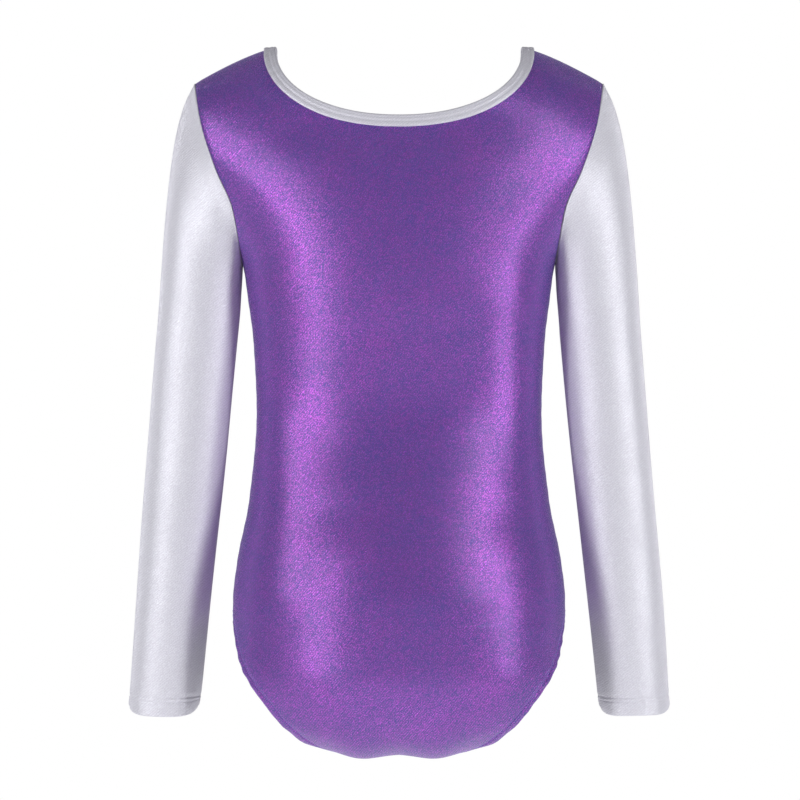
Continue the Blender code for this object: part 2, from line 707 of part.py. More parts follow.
def neck_loop():
    """Places round the neckline: point, direction into the cloth and outward normal of each."""
    along_neck = [c for c in columns() if abs(c) < NECK_END + TINY]
    back = [(BACK, column) for column in along_neck]
    front = [(FRONT, column) for column in reversed(along_neck)]
    seam_columns = (back[0], back[-1], front[0], front[-1])
    places = []
    for side, column in back + front[1:-1]:
        point, _, _, normal = panel_frame(side, column, TOP)
        if (side, column) in seam_columns:
            point.y = 0.0
            normal = panel_frame(-side, column, TOP)[3] + normal
            normal.y = 0.0
        places.append([point, normal.normalized()])
    loop = []
    for i, (point, normal) in enumerate(places):
        along = places[(i + 1) % len(places)][0] - places[i - 1][0]
        along = (along - normal * along.dot(normal)).normalized()
        loop.append((point, normal.cross(along).normalized(), normal))
    middle = sum((point for point, _, _ in loop), Vector()) / len(loop)
    if loop[0][1].dot(loop[0][0] - middle) < 0:
        loop = [(point, -into, normal) for point, into, normal in loop]
    return loop


def make_neck_band(name, corners, colour, roughness, metallic=0.0):
    """A band round the neckline whose section is given as distances into the cloth and out of it."""
    sections = [[p + into * a + out * b for a, b in corners] for p, into, out in neck_loop()]
    finish(name, sweep(sections, True), colour, roughness, metallic)


def make_neck():
    """The binding folded over the cut edge, the elastic in its fold and the stitching along it."""
    inner = FABRIC / 2 + 2 * LAYER_GAP
    outer = inner + BINDING_CLOTH
    fold = BINDING_FOLD + BINDING_CLOTH
    channel = [(BINDING_LAP, outer), (BINDING_LAP, inner), (-BINDING_FOLD, inner), (-BINDING_FOLD, -inner)]
    channel += [(BINDING_LAP, -inner), (BINDING_LAP, -outer), (-fold, -outer), (-fold, outer)]
    make_neck_band("neck_binding", channel, SLEEVE_COLOUR, FOIL_ROUGHNESS, FOIL_METAL)
    near, far = -LAYER_GAP, LAYER_GAP - BINDING_FOLD
    strip = [(near, ELASTIC / 2), (near, -ELASTIC / 2), (far, -ELASTIC / 2), (far, ELASTIC / 2)]
    make_neck_band("neck_elastic", strip, ELASTIC_COLOUR, ELASTIC_ROUGHNESS)
    low, high = outer + LAYER_GAP, outer + LAYER_GAP + THREAD
    start, end = -COVERSTITCH_WIDTH / 2, COVERSTITCH_WIDTH / 2
    make_neck_band(
        "neck_coverstitch",
        [(start, low), (end, low), (end, high), (start, high)],
        SLEEVE_THREAD_COLOUR,
        THREAD_ROUGHNESS,
    )


def make_size_label():
    """The blank woven size label inside the middle of the back neck."""
    wide, tall = SIZE_LABEL
    top = BACK_NECK_DROP + BINDING_LAP + 2 * LAYER_GAP
    cloth = bmesh.new()
    grid = []
    for drop in (top, top + tall / 2, top + tall):
        across = [wide * (i / 4 - 0.5) for i in range(5)]
        depth = under_cloth() + LABEL_CLOTH + SEAM_GAP / 2
        points = [Vector((x, stand_off(BACK, x, drop) - depth, -drop)) for x in across]
        grid.append([cloth.verts.new(point) for point in points])
    face_grid(cloth, grid)
    thicken(finish("size_label", cloth, LABEL_COLOUR, LABEL_ROUGHNESS), LABEL_CLOTH)


def make_care_label():
    """The blank care label, caught in the left side seam and lying inside the front."""
    wide, tall = CARE_LABEL
    cloth = bmesh.new()
    grid = []
    for i in range(4):
        v = CARE_LABEL_ROW - tall * i / 3 / (LEG_DROP - UNDERARM_DROP)
        row = []
        for j in range(4):
            shift = Vector((0, -LAYER_GAP - wide * j / 3, 0))
            place = settle(FRONT, LEFT, v, shift)
            row.append(cloth.verts.new(sunk(FRONT, *place, under_cloth() + LABEL_CLOTH)))
        grid.append(row)
    face_grid(cloth, grid)
    thicken(finish("care_label", cloth, LABEL_COLOUR, LABEL_ROUGHNESS), LABEL_CLOTH)


def build():
    clear_scene()
    collection = bpy.data.collections.new(COLLECTION)
    bpy.context.scene.collection.children.link(collection)
    make_panel("back_panel", BACK)
    make_panel("front_panel", FRONT)
    make_crotch_seam()
    make_crotch_lining()
    make_neck()
    make_size_label()
    make_care_label()
    for hand, word in ((LEFT, "left"), (RIGHT, "right")):
        pivot = bpy.data.objects.new(word + "_shoulder_pivot", None)
        pivot.location = (hand * SHOULDER_HALF, 0, -SHOULDER_DROP + FABRIC / 2 + SEAM_GAP)
        collection.objects.link(pivot)
        make_sleeve(hand, word, pivot)
        make_sleeve_seam(hand, word, pivot)
        make_cuff_stitch(hand, word, pivot)
        make_armhole_seam(hand, word)
        make_side_seam(hand, word)
        make_shoulder_bands(hand, word)
        make_leg_bands(hand, word)


build()
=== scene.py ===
"""The looks of a girl's long-sleeved gymnastics leotard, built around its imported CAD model.

Metres, +Z up, origin on the centre line at the high point of the shoulders. The wearer faces -Y, so the
back is on +Y. The sections follow the garment as it is sewn together.
"""

import math

import bmesh
import bpy
from mathutils import Matrix, Vector, noise


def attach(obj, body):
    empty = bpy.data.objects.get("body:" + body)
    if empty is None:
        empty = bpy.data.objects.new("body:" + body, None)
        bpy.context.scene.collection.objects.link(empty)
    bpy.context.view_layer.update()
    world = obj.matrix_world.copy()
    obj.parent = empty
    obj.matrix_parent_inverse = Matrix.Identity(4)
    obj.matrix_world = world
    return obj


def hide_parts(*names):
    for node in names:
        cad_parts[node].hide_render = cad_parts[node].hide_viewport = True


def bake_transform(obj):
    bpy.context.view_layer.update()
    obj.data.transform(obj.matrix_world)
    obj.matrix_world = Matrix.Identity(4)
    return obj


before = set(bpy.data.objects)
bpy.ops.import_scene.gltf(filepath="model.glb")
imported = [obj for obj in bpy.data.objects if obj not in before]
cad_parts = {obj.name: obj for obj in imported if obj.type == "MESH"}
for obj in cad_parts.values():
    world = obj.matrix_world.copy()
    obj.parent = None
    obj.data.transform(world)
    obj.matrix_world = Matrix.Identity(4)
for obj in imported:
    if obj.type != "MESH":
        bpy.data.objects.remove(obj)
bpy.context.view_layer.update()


# ---------------------------------------------------------------------------------------------
# Back panel: one piece of four-way stretch knit with a metallic foil print, cut in one from the
# shoulder seams to the crotch seam. It is shaped by the body that fills it, and its leg edges are
# turned in over elastic as hems.
# ---------------------------------------------------------------------------------------------
FABRIC = 0.0009
LEG_ELASTIC = 0.0006
SEAM_LINE = 0.00002

SHOULDER_DROP = 0.028
UNDERARM_DROP = 0.177
WAIST_DROP = 0.296
HIGH_HIP_DROP = 0.368
HIP_DROP = 0.450
LEG_DROP = 0.466
CROTCH_DROP = 0.573
BLADE_DROP = 0.100

SHOULDER_HALF = 0.166
CHEST_HALF = 0.1265
WAIST_HALF = 0.116
HIP_HALF = 0.135
SECTION_POWER = 2.2

NECK_HALF = 0.1045
BACK_NECK_DROP = 0.0625
FRONT_NECK_DROP = 0.098
NECK_SLOPE = 0.45
NECK_POWER = 2.15
NECK_END = 0.6
SHOULDER_BOW = 1.25
SHOULDER_ROLL = 0.075

CROTCH_HALF = 0.035
LOBE_SPACING = 0.031
LOBE_SPREAD = 0.021
LOBE_DROP = 0.005
LEG_HEM = 0.010
COLUMN_SPREAD = 0.35

BACK, FRONT = 1, -1
LEFT, RIGHT = 1, -1

# Heights on a panel: 0 at the crotch seam, then the foot of the side seam, the underarm and the top.
CROTCH, LEG_TOP, UNDERARM, TOP = 0.0, 1.0, 2.0, 3.0


def from_chest(share):
    """Half width a share of the way from the chest's out to the shoulder's."""
    return CHEST_HALF + (SHOULDER_HALF - CHEST_HALF) * share


# Body that fills the cloth: drop, half width, depth of the back, depth of the front.
FORM = (
    (0.0, from_chest(2.2405), 0.056, 0.052),
    (0.062, from_chest(1.7595), 0.066, 0.066),
    (BLADE_DROP, from_chest(1.1772), 0.076, 0.078),
    (0.132, from_chest(0.5696), 0.079, 0.083),
    (0.152, from_chest(0.2785), 0.079, 0.084),
    (UNDERARM_DROP, CHEST_HALF, 0.078, 0.084),
    (0.205, 0.1225, 0.075, 0.083),
    (0.238, 0.1185, 0.069, 0.080),
    (WAIST_DROP, WAIST_HALF, 0.062, 0.076),
    (HIGH_HIP_DROP, 0.122, 0.080, 0.084),
    (0.417, 0.1315, 0.096, 0.087),
    (HIP_DROP, HIP_HALF, 0.101, 0.085),
    (LEG_DROP, HIP_HALF, 0.101, 0.084),
)

# Armhole edges: drop, half width of the back, half width of the front.
ARMHOLE = (
    (SHOULDER_DROP, SHOULDER_HALF, SHOULDER_HALF),
    (0.062, from_chest(0.8481), from_chest(0.7468)),
    (BLADE_DROP, from_chest(0.5316), from_chest(0.3671)),
    (0.132, from_chest(0.1823), from_chest(0.1013)),
    (UNDERARM_DROP, CHEST_HALF, CHEST_HALF),
)

# Below the side seams, in even steps from the crotch seam up to the foot of the side seam: drop on the
# centre line, share of the hip's depth, half width at the leg edge, rise of that edge.
SEAT = (
    (CROTCH_DROP, 0.0, CROTCH_HALF, 0.0),
    (CROTCH_DROP, 0.17, 0.047, 0.002),
    (CROTCH_DROP - 0.002, 0.42, 0.073, 0.007),
    (CROTCH_DROP - 0.011, 0.66, 0.092, 0.013),
    (CROTCH_DROP - 0.027, 0.83, 0.107, 0.015),
    (CROTCH_DROP - 0.046, 0.93, 0.119, 0.012),
    (CROTCH_DROP - 0.069, 0.985, 0.128, 0.006),
    (LEG_DROP, 1.0, HIP_HALF, 0.0),
)
TUMMY = (
    (CROTCH_DROP, 0.0, CROTCH_HALF, 0.0),
    (CROTCH_DROP - 0.003, 0.22, 0.038, 0.001),
    (CROTCH_DROP - 0.011, 0.45, 0.046, 0.003),
    (CROTCH_DROP - 0.023, 0.64, 0.059, 0.006),
    (CROTCH_DROP - 0.040, 0.79, 0.077, 0.009),
    (CROTCH_DROP - 0.060, 0.90, 0.098, 0.010),
    (CROTCH_DROP - 0.082, 0.965, 0.119, 0.006),
    (LEG_DROP, 1.0, HIP_HALF, 0.0),
)


def smooth_through(stations, column, at):
    """Reads one column of the stations at a place between them, on a curve that doesn't overshoot."""
    places = [row[0] for row in stations]
    values = [row[column] for row in stations]
    last = len(places) - 1
    at = min(max(at, places[0]), places[last])
    k = max(i for i in range(last) if places[i] <= at)
    slopes = [(values[i + 1] - values[i]) / (places[i + 1] - places[i]) for i in range(last)]

    def bend(i):
        if i in (0, last):
            return slopes[min(i, last - 1)]
        before, after = slopes[i - 1], slopes[i]
        return 0.0 if before * after <= 0 else 2 * before * after / (before + after)

    span = places[k + 1] - places[k]
    t = (at - places[k]) / span
    start = values[k] * (1 + 2 * t) * (1 - t) ** 2 + values[k + 1] * t * t * (3 - 2 * t)
    return start + span * (bend(k) * t * (1 - t) ** 2 - bend(k + 1) * t * t * (1 - t))


def in_steps(table):
    """A table with its rows numbered from 0 to 1 in a column of their own."""
    return tuple((i / (len(table) - 1),) + tuple(row) for i, row in enumerate(table))


SEAT_STEPS = in_steps(SEAT)
TUMMY_STEPS = in_steps(TUMMY)


def ridge(x):
    """Height of the shoulder ridge over a distance from the centre line."""
    out = (abs(x) - NECK_HALF) / (SHOULDER_HALF - NECK_HALF)
    if out < 0:
        return NECK_SLOPE * (NECK_HALF - abs(x))
    return -SHOULDER_DROP * out**SHOULDER_BOW


def stand_off(side, x, drop):
    """Distance of the body's surface behind or in front of the side seams."""
    half = max(smooth_through(FORM, 1, drop), abs(x))
    depth = smooth_through(FORM, 2 if side == BACK else 3, drop)
    across = (1 - (abs(x) / half) ** SECTION_POWER) ** (1 / SECTION_POWER)
    under = min(max(ridge(x) + drop, 0.0) / SHOULDER_ROLL, 1.0)
    return depth * across * math.sqrt(1 - (1 - under) ** 2)


def spread(column):
    """Share of a quarter turn round the body at which a column runs, closer together at the sides."""
    return column * (1 + COLUMN_SPREAD * (1 - column))


def top_place(side, column):
    """Distance out and drop of a column's upper end, on the neckline or the shoulder seam."""
    if column <= NECK_END:
        angle = math.pi / 2 * math.sin(math.pi / 2 * min(column / NECK_END, 1.0))
        drop = BACK_NECK_DROP if side == BACK else FRONT_NECK_DROP
        power = 2 / NECK_POWER
        return NECK_HALF * math.sin(angle) ** power, drop * abs(math.cos(angle)) ** power
    x = NECK_HALF + (SHOULDER_HALF - NECK_HALF) * (column - NECK_END) / (1 - NECK_END)
    return x, -ridge(x)


def panel_point(side, column, v):
    """A point of the front or back: column runs across it from -1 to 1, v up it from CROTCH to TOP."""
    wide = min(abs(column), 1.0)
    if v <= LEG_TOP:
        steps = SEAT_STEPS if side == BACK else TUMMY_STEPS
        climb = math.sin(math.pi / 2 * max(v, CROTCH))
        drop, fill, half, lift = (smooth_through(steps, c, climb) for c in (1, 2, 3, 4))
        turn = spread(wide)
        across = turn + (math.sin(turn * math.pi / 2) - turn) * climb**2
        x = across * half
        round_off = max(1 - (x / HIP_HALF) ** SECTION_POWER, 0.0) ** (1 / SECTION_POWER)
        lobes = LOBE_DROP * math.exp(-(((x - LOBE_SPACING) / LOBE_SPREAD) ** 2))
        lobes *= math.sin(math.pi * min(fill, 1.0)) if side == BACK else 0.0
        z = -drop + lift * across**2 - lobes
        y = fill * smooth_through(FORM, 2 if side == BACK else 3, LEG_DROP) * round_off
    elif v <= UNDERARM:
        drop = LEG_DROP + (UNDERARM_DROP - LEG_DROP) * (v - LEG_TOP)
        x = math.sin(spread(wide) * math.pi / 2) * smooth_through(FORM, 1, drop)
        y = stand_off(side, x, drop)
        z = -drop
    else:
        up = min(v - UNDERARM, 1.0)
        half_column = 1 if side == BACK else 2
        top_x, top_drop = top_place(side, wide)
        drop = UNDERARM_DROP + (top_drop - UNDERARM_DROP) * math.sin(math.pi / 2 * up)
        low_share = math.sin(spread(wide) * math.pi / 2)
        top_share = top_x / smooth_through(ARMHOLE, half_column, top_drop)
        share = low_share + (top_share - low_share) * up * up * (3 - 2 * up)
        x = share * smooth_through(ARMHOLE, half_column, drop)
        y = stand_off(side, x, drop)
        z = -drop
    return Vector((math.copysign(x, column), side * (y + SEAM_LINE / 2), z))


NUDGE = 0.01


def panel_frame(side, column, v):
    """The panel's point with its directions across and up, and its outward normal."""
    inner = math.copysign(min(abs(column), 1 - NUDGE), column)
    v_in = min(max(v, NUDGE), TOP - NUDGE)
    across = panel_point(side, inner + NUDGE, v_in) - panel_point(side, inner - NUDGE, v_in)
    up = panel_point(side, inner, v_in + NUDGE) - panel_point(side, inner, v_in - NUDGE)
    normal = across.cross(up).normalized() * -side
    return panel_point(side, column, v), across / (2 * NUDGE), up / (2 * NUDGE), normal


def settle(side, column, v, shift):
    """Column and row of the place on the panel that lies a shift away from another place."""
    target = panel_point(side, column, v) + shift
    for _ in range(5):
        point, across, up, _ = panel_frame(side, column, v)
        miss = target - point
        a, b, c = across.dot(across), across.dot(up), up.dot(up)
        p, q = miss.dot(across), miss.dot(up)
        det = a * c - b * b
        column = min(max(column + (p * c - q * b) / det, -1.0), 1.0)
        v = min(max(v + (q * a - p * b) / det, CROTCH), TOP)
    return column, v


def bell(distance):
    return math.exp(-distance * distance)


HEM_DENT = 0.0010
HEM_SLOPE = 0.8


def ripple(side, column, v):
    """Height of the cloth's small folds over the smooth body, in metres."""
    wide, hand = abs(column), math.copysign(1, column)
    point = Vector((column * 2.1, side * 3.7, v * 2.3))
    lift = 0.0006 * noise.noise(point)
    if v < LEG_TOP:
        gather = bell((1 - wide) / 0.16) * math.sin(math.pi * v) ** 0.5
        wave = math.sin(v * 74 + 4 * noise.noise(point * 2) + hand)
        lift += 0.00050 * gather * wave * (0.6 + noise.noise(point * 5))
        from_edge = (1 - wide) * abs(panel_point(side, hand, v).x) * HEM_SLOPE
        lift -= HEM_DENT * bell((from_edge - LEG_HEM - 0.001) / 0.0026) * (1 - v) ** 0.3
    if LEG_TOP <= v <= UNDERARM:
        pull = bell((1 - wide) / 0.07)
        lift += 0.00012 * pull * math.sin(v * 130) - 0.0004 * bell((1 - wide) / 0.018)
    if v > UNDERARM:
        lift -= 0.0004 * bell((1 - wide) / 0.02)
    return lift


def sunk(side, column, v, depth):
    """A point a depth below the middle of the outer cloth, towards the body."""
    point, _, _, normal = panel_frame(side, column, v)
    return point + normal * (ripple(side, column, v) - depth)


UPWARD = Vector((0, 0, 0.5))
HEM_STEP = 0.04


def into_cloth(side, hand, v):
    """Direction from the leg edge into the cloth, square to that edge."""
    _, across, _, normal = panel_frame(side, hand, v)
    if v >= LEG_TOP:
        return Vector((0, 0, 1))
    along = panel_point(side, hand, min(v + HEM_STEP, LEG_TOP))
    along -= panel_point(side, hand, max(v - HEM_STEP, CROTCH))
    if v <= CROTCH:
        along = Vector((0, 1, 0))
    into = normal.cross(along).normalized()
    return -into if into.dot(UPWARD - across.normalized() * hand) < 0 else into


def leg_point(side, hand, v, inward, depth):
    """A point beside the leg edge, a distance in from it and a depth below the outer cloth."""
    into = into_cloth(side, hand, v)
    if inward > 0:
        point = sunk(side, *settle(side, hand, v, into * inward), depth)
    else:
        point = sunk(side, hand, v, depth) + into * inward
    if v in (CROTCH, LEG_TOP):
        point.y = side * SEAM_LINE / 2
    return point


def drape(across, along, place):
    """A sheet of quads whose points are put in place by a function of 0 to 1 across and along it."""
    sheet = bmesh.new()
    bmesh.ops.create_grid(sheet, x_segments=across, y_segments=along, size=0.5)
    spots = [(vert, vert.co.x + 0.5, vert.co.y + 0.5) for vert in sheet.verts]
    for vert, u, w in spots:
        vert.co = place(u, w)
    bmesh.ops.remove_doubles(sheet, verts=sheet.verts, dist=1e-6)
    return sheet


def turn_out(sheet, inside):
    """Turns the faces so that the one nearest a point inside the garment looks away from it."""
    sheet.normal_update()
    nearest = min(sheet.faces, key=lambda face: (face.calc_center_median() - inside).length)
    if nearest.normal.dot(nearest.calc_center_median() - inside) < 0:
        bmesh.ops.reverse_faces(sheet, faces=sheet.faces)


def piece(name, sheet, materials, body, nodes):
    """Makes the named object from a bmesh, on a CAD body, standing for its CAD nodes."""
    mesh = bpy.data.meshes.new(name)
    sheet.to_mesh(mesh)
    sheet.free()
    mesh.shade_smooth()
    for material in materials:
        mesh.materials.append(material)
    obj = bpy.data.objects.new(name, mesh)
    bpy.context.scene.collection.objects.link(obj)
    if body:
        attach(obj, body)
    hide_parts(*nodes)
    return obj


def make_cloth(obj, thickness):
    """Gives a sheet its thickness about its middle, with the second material on the wrong side."""
    shell = obj.modifiers.new("cloth", "SOLIDIFY")
    shell.thickness = thickness
    shell.offset = 0.0
    shell.material_offset = 1
    shell.material_offset_rim = 1


def srgb(text):
    """Linear colour of an sRGB hex value."""
    parts = [int(text[i : i + 2], 16) / 255 for i in (1, 3, 5)]
    return tuple(c / 12.92 if c <= 0.04045 else ((c + 0.055) / 1.055) ** 2.4 for c in parts) + (1.0,)


def add(tree, kind, inputs=None, **settings):
    """Adds a node with its settings, and links or sets its inputs."""
    node = tree.nodes.new(kind)
    for name, value in settings.items():
        setattr(node, name, value)
    for name, value in (inputs or {}).items():
        if isinstance(value, bpy.types.NodeSocket):
            tree.links.new(value, node.inputs[name])
        else:
            node.inputs[name].default_value = value
    return node


def new_material(name, settings):
    """A material with its Principled shader's constant values set on its own sockets."""
    material = bpy.data.materials.new(name)
    material.use_nodes = True
    tree = material.node_tree
    shader = tree.nodes["Principled BSDF"]
    for socket, value in settings.items():
        shader.inputs[socket].default_value = value
    return material, tree, shader


def colour_and_relief(tree, shader, share, shades, height, strength, depth):
    """Colours a surface between two shades by a share, and raises it by a height."""
    colour = add(tree, "ShaderNodeMix", {0: share, 6: srgb(shades[0]), 7: srgb(shades[1])}, data_type="RGBA")
    tree.links.new(colour.outputs[2], shader.inputs["Base Color"])
    bump = add(tree, "ShaderNodeBump", {"Height": height, "Strength": strength, "Distance": depth})
    tree.links.new(bump.outputs[0], shader.inputs["Normal"])


# Foil printed knit: polyester and elastane jersey with a film of metal dots transferred to its face by
# heat. The knit stretches the film into grains with cloth between them, so the dyed cloth gives the even
# colour and the grains give a wide, tinted gloss that glitters softly.
# The loops are 0.5 mm apart, too fine to show, so they are drawn 1.7 mm apart; the grains are 0.5 mm.
LOOP_PITCH = 0.0017
GRAIN = 0.0005


def foil_knit(name, knit, foil, slant, bare, gloss, settings):
    material, tree, shader = new_material(name, settings)
    place = add(tree, "ShaderNodeTexCoord").outputs["Object"]
    turned = add(tree, "ShaderNodeMapping", {"Vector": place, "Rotation": slant}).outputs[0]
    grains = add(tree, "ShaderNodeTexVoronoi", {"Vector": place, "Scale": 1 / GRAIN}).outputs["Color"]
    spark = add(tree, "ShaderNodeSeparateColor", {0: grains}).outputs[0]
    loops = add(
        tree,
        "ShaderNodeTexWave",
        {"Vector": turned, "Scale": 0.31 / LOOP_PITCH, "Distortion": 3.5, "Detail": 2.0, "Detail Scale": 2.2},
        wave_type="BANDS",
        bands_direction="X",
    ).outputs["Fac"]
    cloudy = add(tree, "ShaderNodeTexNoise", {"Vector": place, "Scale": 28.0, "Detail": 3.0}).outputs["Fac"]
    mixed = add(tree, "ShaderNodeMath", {0: loops, 1: 0.6, 2: spark}, operation="MULTIPLY_ADD").outputs[0]
    tone = add(tree, "ShaderNodeMath", {0: cloudy, 1: 0.4, 2: mixed}, operation="MULTIPLY_ADD").outputs[0]
    film = add(
        tree, "ShaderNodeMapRange", {"Value": tone, "From Min": bare - 0.4, "From Max": bare + 0.4}
    ).outputs[0]
    tree.links.new(film, shader.inputs["Metallic"])
    rough = add(
        tree, "ShaderNodeMapRange", {"Value": spark, "To Min": gloss - 0.07, "To Max": gloss + 0.07}
    ).outputs[0]
    tree.links.new(rough, shader.inputs["Roughness"])
    colour_and_relief(tree, shader, film, (knit, foil), mixed, 0.8, 0.00025)
    return material


# The wrong side has no foil: plain jersey, matt, with its ribs of loops running up the cloth.
def plain_knit(name, low, high):
    material, tree, shader = new_material(name, {"Roughness": 0.85, "Sheen Weight": 0.25})
    place = add(tree, "ShaderNodeTexCoord").outputs["Object"]
    ribs = add(
        tree,
        "ShaderNodeTexWave",
        {"Vector": place, "Scale": 0.31 / LOOP_PITCH, "Distortion": 1.0, "Detail": 1.0},
        wave_type="BANDS",
        bands_direction="X",
    ).outputs["Fac"]
    colour_and_relief(tree, shader, ribs, (low, high), ribs, 0.3, 0.0002)
    return material


purple_foil = foil_knit(
    "purple_foil_knit",
    "#3E3E8A",
    "#BC5AD0",
    (0.0, 0.7, 0.0),
    1.18,
    0.25,
    {
        "IOR": 1.5,
        "Sheen Weight": 0.45,
        "Sheen Tint": srgb("#B8B0FF"),
        "Sheen Roughness": 0.4,
    },
)
purple_inside = plain_knit("purple_knit_wrong_side", "#43356F", "#56468A")

PANEL_COLUMNS = 128
PANEL_ROWS = 200
LEG_ROW_SHARE = 0.28
UNDERARM_ROW_SHARE = 0.76
HEM_FOLD = FABRIC + LEG_ELASTIC + 0.0010
HEM_ROUND = 0.0006
HEM_TURNS = [
    (-HEM_ROUND * math.sin(math.pi * i / 4), HEM_FOLD * (1 - math.cos(math.pi * i / 4)) / 2)
    for i in (1, 2, 3, 4)
]
HEM_TURNS += [(LEG_HEM * i / 4, HEM_FOLD) for i in (1, 2, 3, 4)]


def row_height(w):
    """Height on the panel of a row that lies a share of the way up the sheet."""
    if w <= LEG_ROW_SHARE:
        return LEG_TOP * w / LEG_ROW_SHARE
    if w <= UNDERARM_ROW_SHARE:
        return LEG_TOP + (w - LEG_ROW_SHARE) / (UNDERARM_ROW_SHARE - LEG_ROW_SHARE)
    return UNDERARM + (w - UNDERARM_ROW_SHARE) / (1 - UNDERARM_ROW_SHARE)


def make_panel(name, side, node):
    """The front or the back, with its two leg edges rolled in as hems."""
    sheet = bmesh.new()
    bmesh.ops.create_grid(sheet, x_segments=PANEL_COLUMNS, y_segments=PANEL_ROWS, size=0.5)
    column, height = sheet.verts.layers.float.new("column"), sheet.verts.layers.float.new("height")
    for vert in sheet.verts:
        vert[column] = round(vert.co.x * 2, 6)
        vert[height] = round(row_height(vert.co.y + 0.5), 6)
        vert.co = sunk(side, vert[column], vert[height], 0.0)
    for hand in (LEFT, RIGHT):
        edges = [
            edge
            for edge in sheet.edges
            if all(vert[column] == hand and vert[height] <= LEG_TOP for vert in edge.verts)
        ]
        for inward, depth in HEM_TURNS:
            turned = bmesh.ops.extrude_edge_only(sheet, edges=edges)["geom"]
            for vert in turned:
                if isinstance(vert, bmesh.types.BMVert):
                    vert.co = leg_point(side, hand, vert[height], inward, depth)
            edges = [edge for edge in turned if isinstance(edge, bmesh.types.BMEdge)]
    turn_out(sheet, Vector((0, 0, -WAIST_DROP)))
    obj = piece(name, sheet, [purple_foil, purple_inside], "torso", [node])
    make_cloth(obj, FABRIC)
    return obj


back = make_panel("back_panel_cloth", BACK, "back_panel")


# ---------------------------------------------------------------------------------------------
# Front panel: the same foil knit, with a deeper scoop at the neck and a leg line that is cut higher.
# It is joined to the back at the shoulders, the sides and the crotch.
# ---------------------------------------------------------------------------------------------
front = make_panel("front_panel_cloth", FRONT, "front_panel")


# ---------------------------------------------------------------------------------------------
# Shoulder seams: the front and back are joined by a narrow overlock seam, turned to the back inside,
# with clear elastic tape along the front of it so that the shoulder can't stretch.
# ---------------------------------------------------------------------------------------------
OVERLOCK = 0.0009
OVERLOCK_WIDTH = 0.005
SHOULDER_TAPE_WIDTH = 0.006
TAPE = 0.0003
LAP = 0.0001
UNDER_CLOTH = FABRIC / 2 + LAP
BINDING_LAP = 0.005
CHAMFER = 0.3
WIDE_SIDE = 0.001
SEAM_SET_IN = 0.001
THREAD = 0.00036
STITCH_PITCH = 0.0026
OVERLOCK_PITCH = 0.0019


def band(sections, closed=False):
    """A solid band through sections of four corners, with each corner taken off."""
    blunt = []
    for section in sections:
        pairs = zip(section, section[-1:] + section[:-1], section[1:] + section[:1])
        cuts = [(corner, beside) for corner, *others in pairs for beside in others]
        blunt.append([c.lerp(n, CHAMFER * min(1, WIDE_SIDE / (c - n).length)) for c, n in cuts])
    count, corners = len(blunt) - (not closed), len(blunt[0])

    def place(u, w):
        return blunt[round(w * count) % len(blunt)][round(u * corners) % corners]

    solid = drape(corners, count, place)
    if not closed:
        bmesh.ops.holes_fill(solid, edges=[e for e in solid.edges if e.is_boundary], sides=0)
    bmesh.ops.recalc_face_normals(solid, faces=solid.faces)
    return solid


def paced(path, pitch, closed):
    """Places a pitch apart along a path of (point, normal): point, direction and normal of each."""
    path = path + path[:1] if closed else path
    length = sum((b[0] - a[0]).length for a, b in zip(path, path[1:]))
    count = max(int(length / pitch), 1)
    pitch, travelled, due, found = length / count, 0.0, 0.0, []
    for (a, normal_a), (b, normal_b) in zip(path, path[1:]):
        run = (b - a).length
        while due < travelled + run - 1e-9:
            share = (due - travelled) / run
            normal = normal_a.lerp(normal_b, share).normalized()
            found.append((a.lerp(b, share), (b - a).normalized(), normal))
            due += pitch
        travelled += run
    return found


def sew(seam, path, pitch, size, closed=True, slant=0.0):
    """Adds a row of stitches to a bmesh: a small spindle of thread at each pitch, turned by a slant."""
    length, width, height = size
    spindle = bmesh.new()
    bmesh.ops.create_uvsphere(spindle, u_segments=6, v_segments=4, radius=1)
    model = bpy.data.meshes.new("stitch")
    spindle.to_mesh(model)
    for point, along, normal in paced(path, pitch, closed):
        across = normal.cross(along).normalized()
        run = along * math.cos(slant) + across * math.sin(slant)
        beside = normal.cross(run).normalized()
        axes = Matrix((beside * width / 2, normal * height / 2, run * length / 2)).transposed().to_4x4()
        stitch = model.copy()
        stitch.transform(Matrix.Translation(point) @ axes)
        seam.from_mesh(stitch)
        bpy.data.meshes.remove(stitch)
    bpy.data.meshes.remove(model)
    spindle.free()


def inner_band(side, spots, toward, near, width, top, thickness):
    """Sections of a band that lies inside the cloth beside a seam, and the middle of its open face."""
    sections, path = [], []
    for column, v in spots:
        ends = [settle(side, column, v, toward * distance) for distance in (near, near + width)]
        section = [sunk(side, *end, top) for end in ends]
        section += [sunk(side, *end, top + thickness) for end in reversed(ends)]
        sections.append(section)
        path.append(((section[2] + section[3]) / 2, -panel_frame(side, *ends[0])[3]))
    return sections, path


# Textured polyester thread: many fine crimped filaments, soft and nearly matt, so it never glitters.
def crimped_thread(name, low, high):
    material, tree, shader = new_material(name, {"Roughness": 0.75, "Sheen Weight": 0.4})
    place = add(tree, "ShaderNodeTexCoord").outputs["Object"]
    fluff = add(tree, "ShaderNodeTexNoise", {"Vector": place, "Scale": 2200.0, "Detail": 2.0}).outputs["Fac"]
    colour_and_relief(tree, shader, fluff, (low, high), fluff, 0.5, 0.0001)
    return material


purple_thread = crimped_thread("purple_polyester_thread", "#6A50B0", "#A68EDC")

